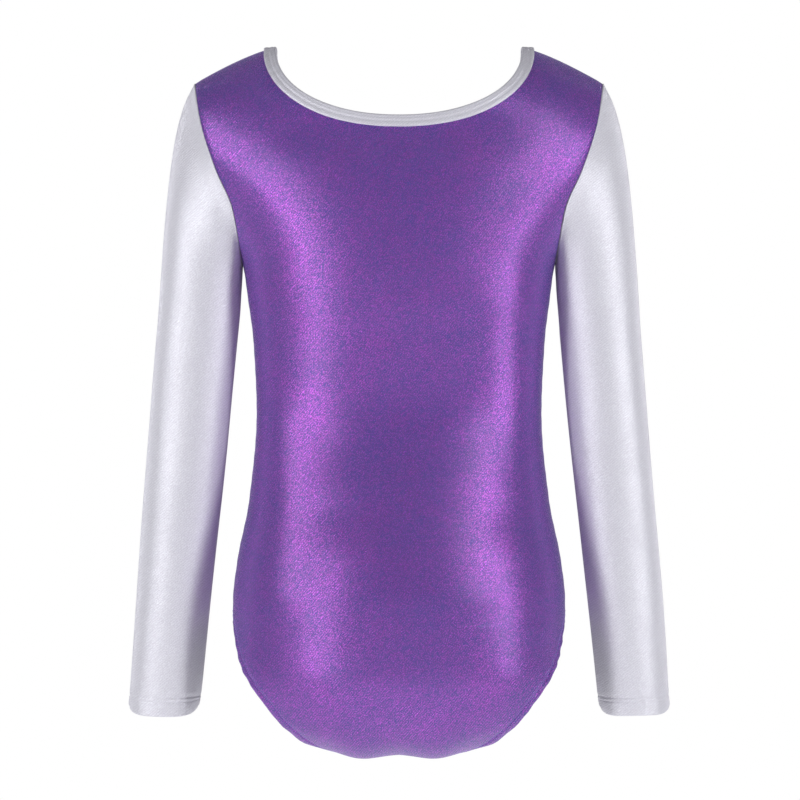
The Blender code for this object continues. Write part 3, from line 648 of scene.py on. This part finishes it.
# Clear elastic tape is extruded polyurethane film: glassy, faintly milky, with fine lines along it.
clear_tape, tape_tree, tape_shader = new_material(
    "clear_polyurethane_tape",
    {"Roughness": 0.3, "Transmission Weight": 0.5, "IOR": 1.5, "Base Color": srgb("#E6E4EA")},
)
tape_place = add(tape_tree, "ShaderNodeTexCoord").outputs["Object"]
tape_lines = add(
    tape_tree,
    "ShaderNodeTexWave",
    {"Vector": tape_place, "Scale": 400.0, "Distortion": 0.5},
    bands_direction="Y",
).outputs["Fac"]
tape_bump = add(tape_tree, "ShaderNodeBump", {"Height": tape_lines, "Strength": 0.2, "Distance": 0.0001})
tape_tree.links.new(tape_bump.outputs[0], tape_shader.inputs["Normal"])

OVERLOCK_STITCH = (OVERLOCK_WIDTH * 1.05, THREAD * 1.3, THREAD * 1.2)
OVERLOCK_SLANT = 1.35
SHOULDER_SPOTS = 14
RIDGE_CLEAR = 0.0006


def overlock_inside(name, spots, top=UNDER_CLOTH):
    """An overlocked seam turned to the back: its allowance with slanted threads over it."""
    back_way = Vector((0, 1, 0))
    sections, path = inner_band(BACK, spots, back_way, SEAM_SET_IN, OVERLOCK_WIDTH, top, OVERLOCK)
    seam = band(sections)
    sew(seam, path, OVERLOCK_PITCH, OVERLOCK_STITCH, False, OVERLOCK_SLANT)
    piece(name + "_overlock", seam, [purple_thread], "torso", [name])


def shoulder_spots(hand, width):
    """Places along a shoulder seam, short of the neck binding and the armhole seam."""
    first = NECK_HALF + BINDING_LAP + OVERLOCK_WIDTH
    last = SHOULDER_HALF - OVERLOCK_WIDTH - width
    outs = [first + (last - first) * i / (SHOULDER_SPOTS - 1) for i in range(SHOULDER_SPOTS)]
    scale = (1 - NECK_END) / (SHOULDER_HALF - NECK_HALF)
    return [(hand * (NECK_END + scale * (x - NECK_HALF)), TOP - NUDGE) for x in outs]


for hand, word in ((LEFT, "left"), (RIGHT, "right")):
    depth = UNDER_CLOTH + RIDGE_CLEAR
    overlock_inside(word + "_shoulder_seam", shoulder_spots(hand, OVERLOCK_WIDTH), depth)
    spots = shoulder_spots(hand, SHOULDER_TAPE_WIDTH)
    front_way = Vector((0, -1, 0))
    sections, _ = inner_band(FRONT, spots, front_way, SEAM_SET_IN, SHOULDER_TAPE_WIDTH, depth, TAPE)
    name = word + "_shoulder_tape"
    piece(name + "_clear", band(sections), [clear_tape], "torso", [name])


# ---------------------------------------------------------------------------------------------
# Side seams: overlocked in purple thread on the inside and turned to the back, from under the armhole
# down to the leg hem.
# ---------------------------------------------------------------------------------------------
SIDE_SPOTS = 64
side_low = LEG_TOP + (LEG_HEM + 2 * OVERLOCK_WIDTH) / (LEG_DROP - UNDERARM_DROP)
side_high = UNDERARM - 3 * OVERLOCK_WIDTH / (LEG_DROP - UNDERARM_DROP)
for hand, word in ((LEFT, "left"), (RIGHT, "right")):
    spots = [(hand, side_low + (side_high - side_low) * i / SIDE_SPOTS) for i in range(SIDE_SPOTS + 1)]
    overlock_inside(word + "_side_seam", spots)


# ---------------------------------------------------------------------------------------------
# Crotch: the back and front are overlocked together, and a soft brushed lining covers the seam on the
# inside, caught in the leg hems on both sides.
# ---------------------------------------------------------------------------------------------
GUSSET_FRONT = 0.42
GUSSET_BACK = 0.22
GUSSET_ROWS = 12
GUSSET_COLUMNS = 12
HEM_CLEAR = 0.003


def lining_places(side, v):
    """Places across the lining, whose edges stop short of the turned leg hems."""
    into = into_cloth(side, LEFT, v) * (LEG_HEM + HEM_CLEAR)
    half, edge_row = settle(side, LEFT, v, into)
    shares = [2 * i / GUSSET_COLUMNS - 1 for i in range(GUSSET_COLUMNS + 1)]
    return [(half * share, v + (edge_row - v) * share**2) for share in shares]


overlock_inside("crotch_seam", [(column, CROTCH) for column, _ in lining_places(BACK, CROTCH)])

lining_depth = UNDER_CLOTH + OVERLOCK + THREAD + LAP + FABRIC / 2
lining_rows = [(FRONT, GUSSET_FRONT * (1 - i / GUSSET_ROWS)) for i in range(GUSSET_ROWS)]
lining_rows += [(BACK, GUSSET_BACK * i / GUSSET_ROWS) for i in range(GUSSET_ROWS + 1)]
lining_points = [[sunk(s, *place, lining_depth) for place in lining_places(s, v)] for s, v in lining_rows]
for point in lining_points[GUSSET_ROWS]:
    point.y = 0.0


def lining_point(u, w):
    return lining_points[round(w * 2 * GUSSET_ROWS)][round(u * GUSSET_COLUMNS)]


# Brushed tricot: polyamide knit with a raised nap on the side that touches the skin, quite matt.
lining_cloth = plain_knit("brushed_tricot_lining", "#5A4A8E", "#76689E")
lining = drape(GUSSET_COLUMNS, 2 * GUSSET_ROWS, lining_point)
turn_out(lining, Vector((0, 0, -HIP_DROP)))
lining = piece(
    "crotch_lining_cloth", lining, [lining_cloth, lining_cloth], "torso", ["crotch_lining"]
)
make_cloth(lining, FABRIC)


# ---------------------------------------------------------------------------------------------
# Leg openings: braided elastic lies in each turned hem, and a twin-needle coverstitch in purple thread
# holds the hem, with its looper thread zigzagging on the inside.
# ---------------------------------------------------------------------------------------------
LEG_ELASTIC_WIDTH = 0.006
LEG_ELASTIC_CLEAR = 0.0005
ELASTIC_SET_IN = 0.0012
LEG_SPOTS = 44
NEEDLE_SPACING = 0.0034
NEEDLE_EDGE = 0.0012
STITCH = (STITCH_PITCH * 0.82, THREAD * 1.3, THREAD * 1.1)
LOOPER_SLANT = 1.2
LOOPER = (NEEDLE_SPACING * 1.15, THREAD * 1.2, THREAD)

# Braided elastic: white polyester yarns braided round rubber threads, matt, with fine diagonal ribs.
braid, braid_tree, braid_shader = new_material("braided_white_elastic", {"Roughness": 0.8})
braid_place = add(braid_tree, "ShaderNodeTexCoord").outputs["Object"]
braid_ribs = add(
    braid_tree,
    "ShaderNodeTexWave",
    {"Vector": braid_place, "Scale": 260.0, "Distortion": 0.8},
    bands_direction="DIAGONAL",
).outputs["Fac"]
colour_and_relief(braid_tree, braid_shader, braid_ribs, ("#CFCDC8", "#F2F1EC"), braid_ribs, 0.4, 0.0002)


def leg_loop(hand):
    """The leg opening's edge: from the crotch up the back and down the front."""
    climb = [LEG_TOP * i / LEG_SPOTS for i in range(LEG_SPOTS + 1)]
    up = [(BACK, hand, v) for v in climb]
    return up + [(FRONT, hand, v) for v in reversed(climb)]


def leg_path(hand, inward, depth, facing):
    """A line round a leg opening, a distance in from its edge, as points with their normals."""
    path = []
    for side, at, v in leg_loop(hand):
        path.append((leg_point(side, at, v, inward, depth), panel_frame(side, at, v)[3] * facing))
    return path


for hand, word in ((LEFT, "left"), (RIGHT, "right")):
    top = FABRIC / 2 + LEG_ELASTIC_CLEAR
    near, far = ELASTIC_SET_IN, ELASTIC_SET_IN + LEG_ELASTIC_WIDTH
    low = top + LEG_ELASTIC
    corners = ((near, top), (far, top), (far, low), (near, low))
    edges = [leg_path(hand, inward, depth, 1) for inward, depth in corners]
    sections = [[point for point, _ in corner] for corner in zip(*edges)]
    name = word + "_leg_elastic"
    piece(name + "_braid", band(sections, True), [braid], "torso", [name])
    stitches = bmesh.new()
    for inward in (LEG_HEM - NEEDLE_EDGE, LEG_HEM - NEEDLE_EDGE - NEEDLE_SPACING):
        sew(stitches, leg_path(hand, inward, -FABRIC / 2 - LAP, 1), STITCH_PITCH, STITCH)
    inside = leg_path(hand, LEG_HEM - NEEDLE_EDGE - NEEDLE_SPACING / 2, HEM_FOLD + FABRIC / 2, -1)
    for slant in (LOOPER_SLANT, -LOOPER_SLANT):
        sew(stitches, inside, STITCH_PITCH, LOOPER, slant=slant)
    name = word + "_leg_coverstitch"
    piece(name + "_thread", stitches, [purple_thread], "torso", [name])


# ---------------------------------------------------------------------------------------------
# Neckline: a strip of silver foil knit folded over narrow elastic and the cut edge, held by a
# twin-needle coverstitch that presses two fine grooves into it.
# ---------------------------------------------------------------------------------------------
BINDING_CLOTH = 0.0007
NECK_SPOTS = 60
NECK_ROWS = (0.0008, -0.0026)

silver_foil = foil_knit(
    "silver_foil_knit",
    "#CDCBD7",
    "#E6E6EE",
    (0.0, 0.9, 0.0),
    1.05,
    0.50,
    {
        "IOR": 1.5,
        "Sheen Weight": 0.1,
        "Sheen Tint": srgb("#E8E0FF"),
        "Sheen Roughness": 0.4,
    },
)
silver_inside = plain_knit("silver_knit_wrong_side", "#A9A8B2", "#C4C3CC")
silver_thread = crimped_thread("silver_polyester_thread", "#B9B7C4", "#E9E8F0")


def neck_loop():
    """Places round the neckline: point, direction into the cloth and outward normal of each."""
    along_neck = [NECK_END * i / NECK_SPOTS for i in range(-NECK_SPOTS, NECK_SPOTS + 1)]
    places = [(BACK, column) for column in along_neck]
    places += [(FRONT, column) for column in reversed(along_neck[1:-1])]
    found = []
    for side, column in places:
        point, _, _, normal = panel_frame(side, column, TOP)
        if abs(column) > NECK_END - 1e-9:
            point.y = 0.0
            normal = panel_frame(-side, column, TOP)[3] + normal
            normal.y = 0.0
        found.append((point, normal.normalized()))
    loop = []
    for i, (point, normal) in enumerate(found):
        along = found[(i + 1) % len(found)][0] - found[i - 1][0]
        along = (along - normal * along.dot(normal)).normalized()
        loop.append((point, normal.cross(along).normalized(), normal))
    middle = sum((point for point, _, _ in loop), Vector()) / len(loop)
    if loop[0][1].dot(loop[0][0] - middle) < 0:
        loop = [(point, -into, normal) for point, into, normal in loop]
    return loop


NECK = neck_loop()
HALF_BINDING = [
    (0.0044, 0.00085), (0.0050, 0.00095), (0.0051, 0.00125), (0.0047, 0.00150), (0.0034, 0.00160),
    (0.0016, 0.00150), (NECK_ROWS[0], 0.00120), (0.0000, 0.00150), (-0.0009, 0.00160),
    (-0.0018, 0.00150), (NECK_ROWS[1], 0.00120), (-0.0034, 0.00145), (-0.0040, 0.00120),
    (-0.0044, 0.00060), (-0.0046, 0.0),
]
BINDING_SECTION = HALF_BINDING + [(a, -b) for a, b in reversed(HALF_BINDING[:-1])]
RIPPLE_SPOTS = 4


def binding_point(u, w):
    """A point of the folded binding: u across the strip, w round the neckline."""
    i = round(w * len(NECK)) % len(NECK)
    point, into, normal = NECK[i]
    a, b = BINDING_SECTION[round(u * (len(BINDING_SECTION) - 1))]
    swell = 1 + 0.10 * math.sin(2 * math.pi * i / RIPPLE_SPOTS) + 0.15 * noise.noise(point * 90)
    return point + into * a + normal * b * swell


binding = drape(len(BINDING_SECTION) - 1, len(NECK), binding_point)
turn_out(binding, NECK[NECK_SPOTS][0])
binding = piece(
    "neck_binding_cloth", binding, [silver_foil, silver_inside], "torso", ["neck_binding"]
)
make_cloth(binding, BINDING_CLOTH)

strip = [(-0.0005, LEG_ELASTIC / 2), (-0.0005, -LEG_ELASTIC / 2)]
strip += [(-0.0036, -LEG_ELASTIC / 2), (-0.0036, LEG_ELASTIC / 2)]
sections = [[point + into * a + normal * b for a, b in strip] for point, into, normal in NECK]
piece("neck_elastic_braid", band(sections, True), [braid], "torso", ["neck_elastic"])

stitches = bmesh.new()
for a in NECK_ROWS:
    for face in (1, -1):
        height = 0.00120 + BINDING_CLOTH / 2
        path = [(point + into * a + normal * height * face, normal * face) for point, into, normal in NECK]
        sew(stitches, path, STITCH_PITCH, STITCH)
piece("neck_coverstitch_thread", stitches, [silver_thread], "torso", ["neck_coverstitch"])


# ---------------------------------------------------------------------------------------------
# Labels: a blank size label sewn inside the back of the neck, and a blank care label caught in the
# left side seam. Both are woven satin ribbon with cut and folded ends.
# ---------------------------------------------------------------------------------------------
LABEL_CLOTH = 0.0004
SIZE_LABEL = (0.022, 0.014)
CARE_LABEL = (0.024, 0.040)
CARE_LABEL_ROW = 1.45
LABEL_CURL = 0.0008

# Satin woven polyester ribbon: long floats over close threads, smooth and bright across its width.
satin, satin_tree, satin_shader = new_material(
    "woven_satin_label", {"Roughness": 0.35, "Sheen Weight": 0.2, "Anisotropic": 0.5}
)
satin_place = add(satin_tree, "ShaderNodeTexCoord").outputs["Object"]
satin_floats = add(
    satin_tree,
    "ShaderNodeTexWave",
    {"Vector": satin_place, "Scale": 620.0, "Distortion": 0.6},
    bands_direction="Z",
).outputs["Fac"]
colour_and_relief(satin_tree, satin_shader, satin_floats, ("#E4E3E6", "#F8F8F8"), satin_floats, 0.3, 0.0001)

label_top = BACK_NECK_DROP + BINDING_LAP + 0.001


def size_label_point(u, w):
    x, drop = SIZE_LABEL[0] * (u - 0.5), label_top + SIZE_LABEL[1] * w
    depth = UNDER_CLOTH + LABEL_CLOTH + LABEL_CURL * w**3
    return Vector((x, stand_off(BACK, x, drop) - depth, -drop))


def care_label_point(u, w):
    v = CARE_LABEL_ROW - CARE_LABEL[1] * w / (LEG_DROP - UNDERARM_DROP)
    place = settle(FRONT, LEFT, v, Vector((0, -0.0004 - CARE_LABEL[0] * u, 0)))
    return sunk(FRONT, *place, UNDER_CLOTH + LABEL_CLOTH + LABEL_CURL * u**3)


for name, size, place, panel in (
    ("size_label", SIZE_LABEL, size_label_point, "back_panel_cloth"),
    ("care_label", CARE_LABEL, care_label_point, "front_panel_cloth"),
):
    ribbon = drape(12, 12, place)
    bmesh.ops.recalc_face_normals(ribbon, faces=ribbon.faces)
    label = piece(name + "_satin", ribbon, [satin, satin], "torso", [name])
    make_cloth(label, LABEL_CLOTH)


# ---------------------------------------------------------------------------------------------
# Sleeves: long sleeves of silver foil knit, each one piece with a seam under the arm, set into the
# armhole. The cuff edge is turned up inside as a deep hem.
# ---------------------------------------------------------------------------------------------
SLEEVE_LENGTH = 0.515
SLEEVE_TOP_HALF = 0.0325
ARM_STANDS_OUT = 0.005
CUFF_HALF = 0.0285
SLEEVE_FLATNESS = 0.86
CUFF_OUT = 0.193
CUFF_FORWARD = 0.010
CAP_TILT = 0.006
CAP_FAN = 1.6
SLEEVE_TAPER = 1.5
CUFF_HEM = 0.016
ARM_SEAM_GAP = 0.0003
UNDERARM_GAP = 0.0014
CUFF_ROW_SHARE = 0.8
YOKE_SPOTS = 24


def cap_out(share):
    """Distance out of the sleeve's top edge, a share of the way from the shoulder point to the arm."""
    arm = CHEST_HALF + ARM_STANDS_OUT + 2 * SLEEVE_TOP_HALF
    return SHOULDER_HALF + (arm - SHOULDER_HALF) * share


# Top of the sleeve down the outside of the arm, in even steps: distance out, drop.
SLEEVE_CAP = in_steps(
    (
        (cap_out(0.0), SHOULDER_DROP),
        (cap_out(0.2459), 0.043),
        (cap_out(0.4262), 0.060),
        (cap_out(0.5738), 0.082),
        (cap_out(0.6885), 0.107),
        (cap_out(0.7869), 0.135),
        (cap_out(0.8689), 0.165),
        (cap_out(0.9344), 0.196),
        (cap_out(1.0), 0.226),
    )
)


def armhole_point(hand, around):
    """A point of the armhole's edge: around is 0 at the shoulder, half way at the underarm."""
    side, v = (BACK, TOP - 2 * around) if around <= 0.5 else (FRONT, UNDERARM + 2 * around - 1)
    point = panel_point(side, hand, v)
    if around in (0.0, 0.5, 1.0):
        point.y = 0.0
    return point


def armhole_out(hand):
    """Direction square to the armhole, from the body into the sleeve."""
    slope = armhole_point(hand, 0.0) - armhole_point(hand, 0.5)
    return slope.cross(Vector((0, 1, 0))).normalized() * -hand


def arm_point(hand, share, around, outset=0.0):
    """A point of the sleeve below the cap, a share of the way to the cuff, with its cloth set out."""
    _, outer, drop = SLEEVE_CAP[-1]
    start = Vector((hand * (outer - SLEEVE_TOP_HALF), 0, -drop - CAP_TILT / 2))
    end = Vector((hand * CUFF_OUT, 0, -SHOULDER_DROP - SLEEVE_LENGTH))
    middle = start.lerp(end, share)
    middle.y = -CUFF_FORWARD * share**2
    half = SLEEVE_TOP_HALF + (CUFF_HALF - SLEEVE_TOP_HALF) * max(share, 0.0) ** SLEEVE_TAPER
    reach = Vector((hand * (half + outset), 0, CAP_TILT / 2 * (1 - share)))
    turn = Vector((0, half * SLEEVE_FLATNESS + outset, 0))
    angle = 2 * math.pi * around
    return middle + reach * math.cos(angle) + turn * math.sin(angle)


armhole_depth = max(
    abs(armhole_point(LEFT, i / (2 * YOKE_SPOTS)).y) for i in range(2 * YOKE_SPOTS)
)


def cap_point(hand, t, around, outset=0.0):
    """A point of the sleeve's cap, from the armhole at t = 0 to the foot of the cap at t = 1."""
    top, under = armhole_point(hand, 0.0), armhole_point(hand, 0.5)
    edge, out = armhole_point(hand, around), armhole_out(hand)
    down = (top.z - edge.z) / (top.z - under.z)
    gap = ARM_SEAM_GAP + (UNDERARM_GAP - ARM_SEAM_GAP) * down**3
    angle = 2 * math.pi * around

    def oval(outer, inner, depth):
        middle, half = (outer + inner) / 2, (outer - inner) / 2
        size = 1 + outset / half.length
        return middle + half * size * math.cos(angle) + Vector((0, depth + outset, 0)) * math.sin(angle)

    apart = edge - oval(top, under, armhole_depth)
    outer = Vector((hand * smooth_through(SLEEVE_CAP, 1, t), 0, -smooth_through(SLEEVE_CAP, 2, t)))
    inner = under.lerp(arm_point(hand, 0.0, 0.5), t**CAP_FAN)
    arm_depth = SLEEVE_TOP_HALF * SLEEVE_FLATNESS
    depth = armhole_depth + (arm_depth - armhole_depth) * math.sin(t * math.pi / 2)
    return oval(outer, inner, depth) + apart * (1 - t) ** 2 + out * gap * (1 - t)


BELOW_CAP = SHOULDER_DROP + SLEEVE_LENGTH - SLEEVE_CAP[-1][2]


def cuff_along(up_from_cuff):
    """How far along the sleeve a ring is that lies a distance above the cuff's edge."""
    return 2 - up_from_cuff / BELOW_CAP


def above_cuff(along):
    """Distance above the cuff's edge of a ring that lies so far along the sleeve."""
    return (2 - along) * BELOW_CAP


CUFF_CORNER = 0.0045
CUFF_GROOVE = 0.00035


def sleeve_fold(hand, along, around):
    """Height of the sleeve's soft folds: long drapes down the arm and fine puckers at its seams."""
    angle = 2 * math.pi * around
    drift = noise.noise(Vector((math.cos(angle), math.sin(angle) + hand * 4, along * 2.6)))
    lift = 0.0009 * drift * min(along * 2, 1.0)
    lift += 0.0003 * math.sin(3 * angle + along * 5 + hand) * min(along, 1.0)
    lift += 0.00012 * bell(along / 0.05) * math.sin(angle * 22)
    up = above_cuff(along)
    for row in (CUFF_HEM - NEEDLE_EDGE, CUFF_HEM - NEEDLE_EDGE - NEEDLE_SPACING):
        lift -= CUFF_GROOVE * bell((up - row) / 0.0007)
    lift -= 0.0003 * bell((up - CUFF_HEM) / 0.0015)
    pucker = bell((up - CUFF_HEM + 0.004) / 0.006)
    lift += 0.00022 * pucker * math.sin(angle * 17 + 3 * noise.noise(Vector((angle, hand, 0))))
    return lift - 0.0012 * bell(up / 0.0022) * math.cos(angle) ** 6


def sleeve_point(hand, along, around, outset=0.0):
    """A point of the sleeve: along is 0 at the armhole, 1 at the foot of the cap, 2 at the cuff."""
    outset += sleeve_fold(hand, along, around)
    if along <= 1:
        return cap_point(hand, along, around, outset)
    point = arm_point(hand, along - 1, around, outset)
    angle = 2 * math.pi * around
    corner = CUFF_CORNER * math.cos(angle) ** 6 + 0.0006 * (1 + math.sin(2 * angle + hand))
    point.z += corner * bell(max(above_cuff(along), 0.0) / 0.010)
    return point


def sleeve_row(w):
    """How far along the sleeve a row of the grid is; the rows crowd together at the cuff."""
    hem = cuff_along(CUFF_HEM + 0.004)
    if w < CUFF_ROW_SHARE:
        return hem * w / CUFF_ROW_SHARE
    return hem + (2 - hem) * (w - CUFF_ROW_SHARE) / (1 - CUFF_ROW_SHARE)


SLEEVE_AROUND = 96
SLEEVE_ALONG = 170
CUFF_FOLD = FABRIC + 0.0003
CUFF_ROUND = 0.0004
CUFF_TURNS = [
    (-CUFF_ROUND * math.sin(math.pi * i / 4), -CUFF_FOLD * (1 - math.cos(math.pi * i / 4)) / 2)
    for i in (1, 2, 3, 4)
]
CUFF_TURNS += [(CUFF_HEM * i / 4, -CUFF_FOLD) for i in (1, 2, 3, 4)]
BLEND_LENGTH = 0.035
SLEEVE_SEAM_SPOTS = 90

for hand, word in ((LEFT, "left"), (RIGHT, "right")):
    shoulder = armhole_point(hand, 0.0)
    blend_from = shoulder + armhole_out(hand) * UNDERARM_GAP
    blend_to = shoulder + armhole_out(hand) * BLEND_LENGTH
    body = word + "_sleeve"

    tube = bmesh.new()
    bmesh.ops.create_grid(tube, x_segments=SLEEVE_AROUND, y_segments=SLEEVE_ALONG, size=0.5)
    turn_layer = tube.verts.layers.float.new("around")
    last_row = [vert for vert in tube.verts if vert.co.y > 0.4999]
    rim = [edge for edge in tube.edges if all(vert in last_row for vert in edge.verts)]
    for vert in tube.verts:
        vert[turn_layer] = round(vert.co.x + 0.5, 6)
        vert.co = sleeve_point(hand, sleeve_row(vert.co.y + 0.5), vert[turn_layer])
    for up_from_cuff, outset in CUFF_TURNS:
        turned = bmesh.ops.extrude_edge_only(tube, edges=rim)["geom"]
        for vert in turned:
            if isinstance(vert, bmesh.types.BMVert):
                vert.co = sleeve_point(hand, cuff_along(up_from_cuff), vert[turn_layer], outset)
        rim = [edge for edge in turned if isinstance(edge, bmesh.types.BMEdge)]
    bmesh.ops.remove_doubles(tube, verts=tube.verts, dist=1e-6)
    turn_out(tube, arm_point(hand, 0.5, 0.0, -SLEEVE_TOP_HALF))
    sleeve = piece(
        body + "_cloth", tube, [silver_foil, silver_inside], None, [body]
    )
    make_cloth(sleeve, FABRIC)
    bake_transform(sleeve)

    sections, path = [], []
    for i in range(SLEEVE_SEAM_SPOTS + 1):
        along = 0.30 + (cuff_along(CUFF_HEM + 2 * OVERLOCK_WIDTH) - 0.30) * i / SLEEVE_SEAM_SPOTS
        beside = sleeve_point(hand, along, 0.52) - sleeve_point(hand, along, 0.5)
        width = 0.02 * OVERLOCK_WIDTH / beside.length
        corners = [(0.503, -UNDER_CLOTH), (0.503 + width, -UNDER_CLOTH)]
        corners += [(around, outset - OVERLOCK) for around, outset in reversed(corners)]
        section = [sleeve_point(hand, along, around, outset) for around, outset in corners]
        sections.append(section)
        path.append(((section[2] + section[3]) / 2, (section[2] - section[1]).normalized()))
    seam = band(sections)
    sew(seam, path, OVERLOCK_PITCH, OVERLOCK_STITCH, False, OVERLOCK_SLANT)
    name = word + "_sleeve_seam"
    overlock = piece(name + "_overlock", seam, [silver_thread], None, [name])
    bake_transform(overlock)

    stitches = bmesh.new()
    ring = [i / SLEEVE_AROUND for i in range(SLEEVE_AROUND)]
    for up_from_cuff in (CUFF_HEM - NEEDLE_EDGE, CUFF_HEM - NEEDLE_EDGE - NEEDLE_SPACING):
        along = cuff_along(up_from_cuff)
        path = []
        for around in ring:
            point = sleeve_point(hand, along, around, FABRIC / 2)
            path.append((point, (point - arm_point(hand, along - 1, around, -0.01)).normalized()))
        sew(stitches, path, STITCH_PITCH, STITCH)
    along = cuff_along(CUFF_HEM - NEEDLE_EDGE - NEEDLE_SPACING / 2)
    path = []
    for around in ring:
        point = sleeve_point(hand, along, around, -CUFF_FOLD - FABRIC / 2)
        path.append((point, (arm_point(hand, along - 1, around, -0.01) - point).normalized()))
    for slant in (LOOPER_SLANT, -LOOPER_SLANT):
        sew(stitches, path, STITCH_PITCH, LOOPER, slant=slant)
    name = word + "_cuff_coverstitch"
    piece(name + "_thread", stitches, [silver_thread], body, [name])


# ---------------------------------------------------------------------------------------------
# Armhole seams: the sleeve is overlocked into the armhole in silver grey thread, and the narrow
# allowance stands in towards the middle of the armhole on the inside.
# ---------------------------------------------------------------------------------------------
ARMHOLE_SPOTS = 96
for hand, word in ((LEFT, "left"), (RIGHT, "right")):
    ring = [armhole_point(hand, i / ARMHOLE_SPOTS) for i in range(ARMHOLE_SPOTS)]
    centre = sum(ring, Vector()) / len(ring)
    out = armhole_out(hand)
    sections, path = [], []
    for point in ring:
        inward = (centre - point - out * (centre - point).dot(out)).normalized()
        near = point + inward * (FABRIC + 3 * LAP)
        far = near + inward * OVERLOCK_WIDTH
        half = out * OVERLOCK / 2
        sections.append([near - half, far - half, far + half, near + half])
        path.append(((near + far) / 2 - half, -out))
    seam = band(sections, True)
    sew(seam, path, OVERLOCK_PITCH, OVERLOCK_STITCH, True, OVERLOCK_SLANT)
    name = word + "_armhole_seam"
    piece(name + "_overlock", seam, [silver_thread], "torso", [name])


# ---------------------------------------------------------------------------------------------
# Floor, lights and camera: a plain pale floor, two tall soft boxes on each side of the garment, and a
# camera level with its middle, square to the back.
# ---------------------------------------------------------------------------------------------
FLOOR_DROP = 1.10
ground = bmesh.new()
bmesh.ops.create_circle(ground, cap_ends=True, segments=96, radius=3.0)
bmesh.ops.translate(ground, verts=ground.verts, vec=(0, 0, -FLOOR_DROP))
floor_mesh = bpy.data.meshes.new("floor")
ground.to_mesh(floor_mesh)
ground.free()
floor = bpy.data.objects.new("floor", floor_mesh)
bpy.context.scene.collection.objects.link(floor)
matt_paint, _, _ = new_material(
    "matt_white_paint",
    {
        "Base Color": srgb("#F7F7F7"),
        "Roughness": 0.9,
        "Emission Color": (1, 1, 1, 1),
        "Emission Strength": 0.35,
    },
)
floor_mesh.materials.append(matt_paint)


def soft_box(name, place, aim, size, power):
    """A rectangular area light that looks at a point."""
    data = bpy.data.lights.new(name, "AREA")
    data.shape = "RECTANGLE"
    data.size, data.size_y = size
    data.energy = power
    obj = bpy.data.objects.new(name, data)
    obj.location = place
    obj.rotation_euler = (Vector(aim) - Vector(place)).to_track_quat("-Z", "Y").to_euler()
    bpy.context.scene.collection.objects.link(obj)


MIDDLE = (0.0, 0.0, -0.28)
for hand, word in ((LEFT, "left"), (RIGHT, "right")):
    soft_box(f"back_box_{word}", (hand * 1.38, 1.16, 0.05), MIDDLE, (0.22, 1.5), 19)
    soft_box(f"front_box_{word}", (hand * 1.38, -1.16, 0.05), MIDDLE, (0.22, 1.5), 6)

world = bpy.data.worlds.new("studio")
world.use_nodes = True
sky = world.node_tree
plain = sky.nodes["Background"]
plain.inputs["Color"].default_value = (1, 1, 1, 1)
seen = add(sky, "ShaderNodeLightPath").outputs["Is Camera Ray"]
strength = add(sky, "ShaderNodeMapRange", {"Value": seen, "To Min": 0.22, "To Max": 1.0})
sky.links.new(strength.outputs[0], plain.inputs["Strength"])
bpy.context.scene.world = world
bpy.context.scene.view_settings.view_transform = "Standard"

LENS = 180
SENSOR = 36
VIEW_WIDTH = 0.6530
camera_data = bpy.data.cameras.new("camera")
camera_data.lens = LENS
camera_data.sensor_width = SENSOR
camera = bpy.data.objects.new("camera", camera_data)
camera.location = (-0.0008, VIEW_WIDTH * LENS / SENSOR, -0.2861)
camera.rotation_euler = (math.pi / 2, 0, math.pi)
bpy.context.scene.collection.objects.link(camera)
bpy.context.scene.camera = camera
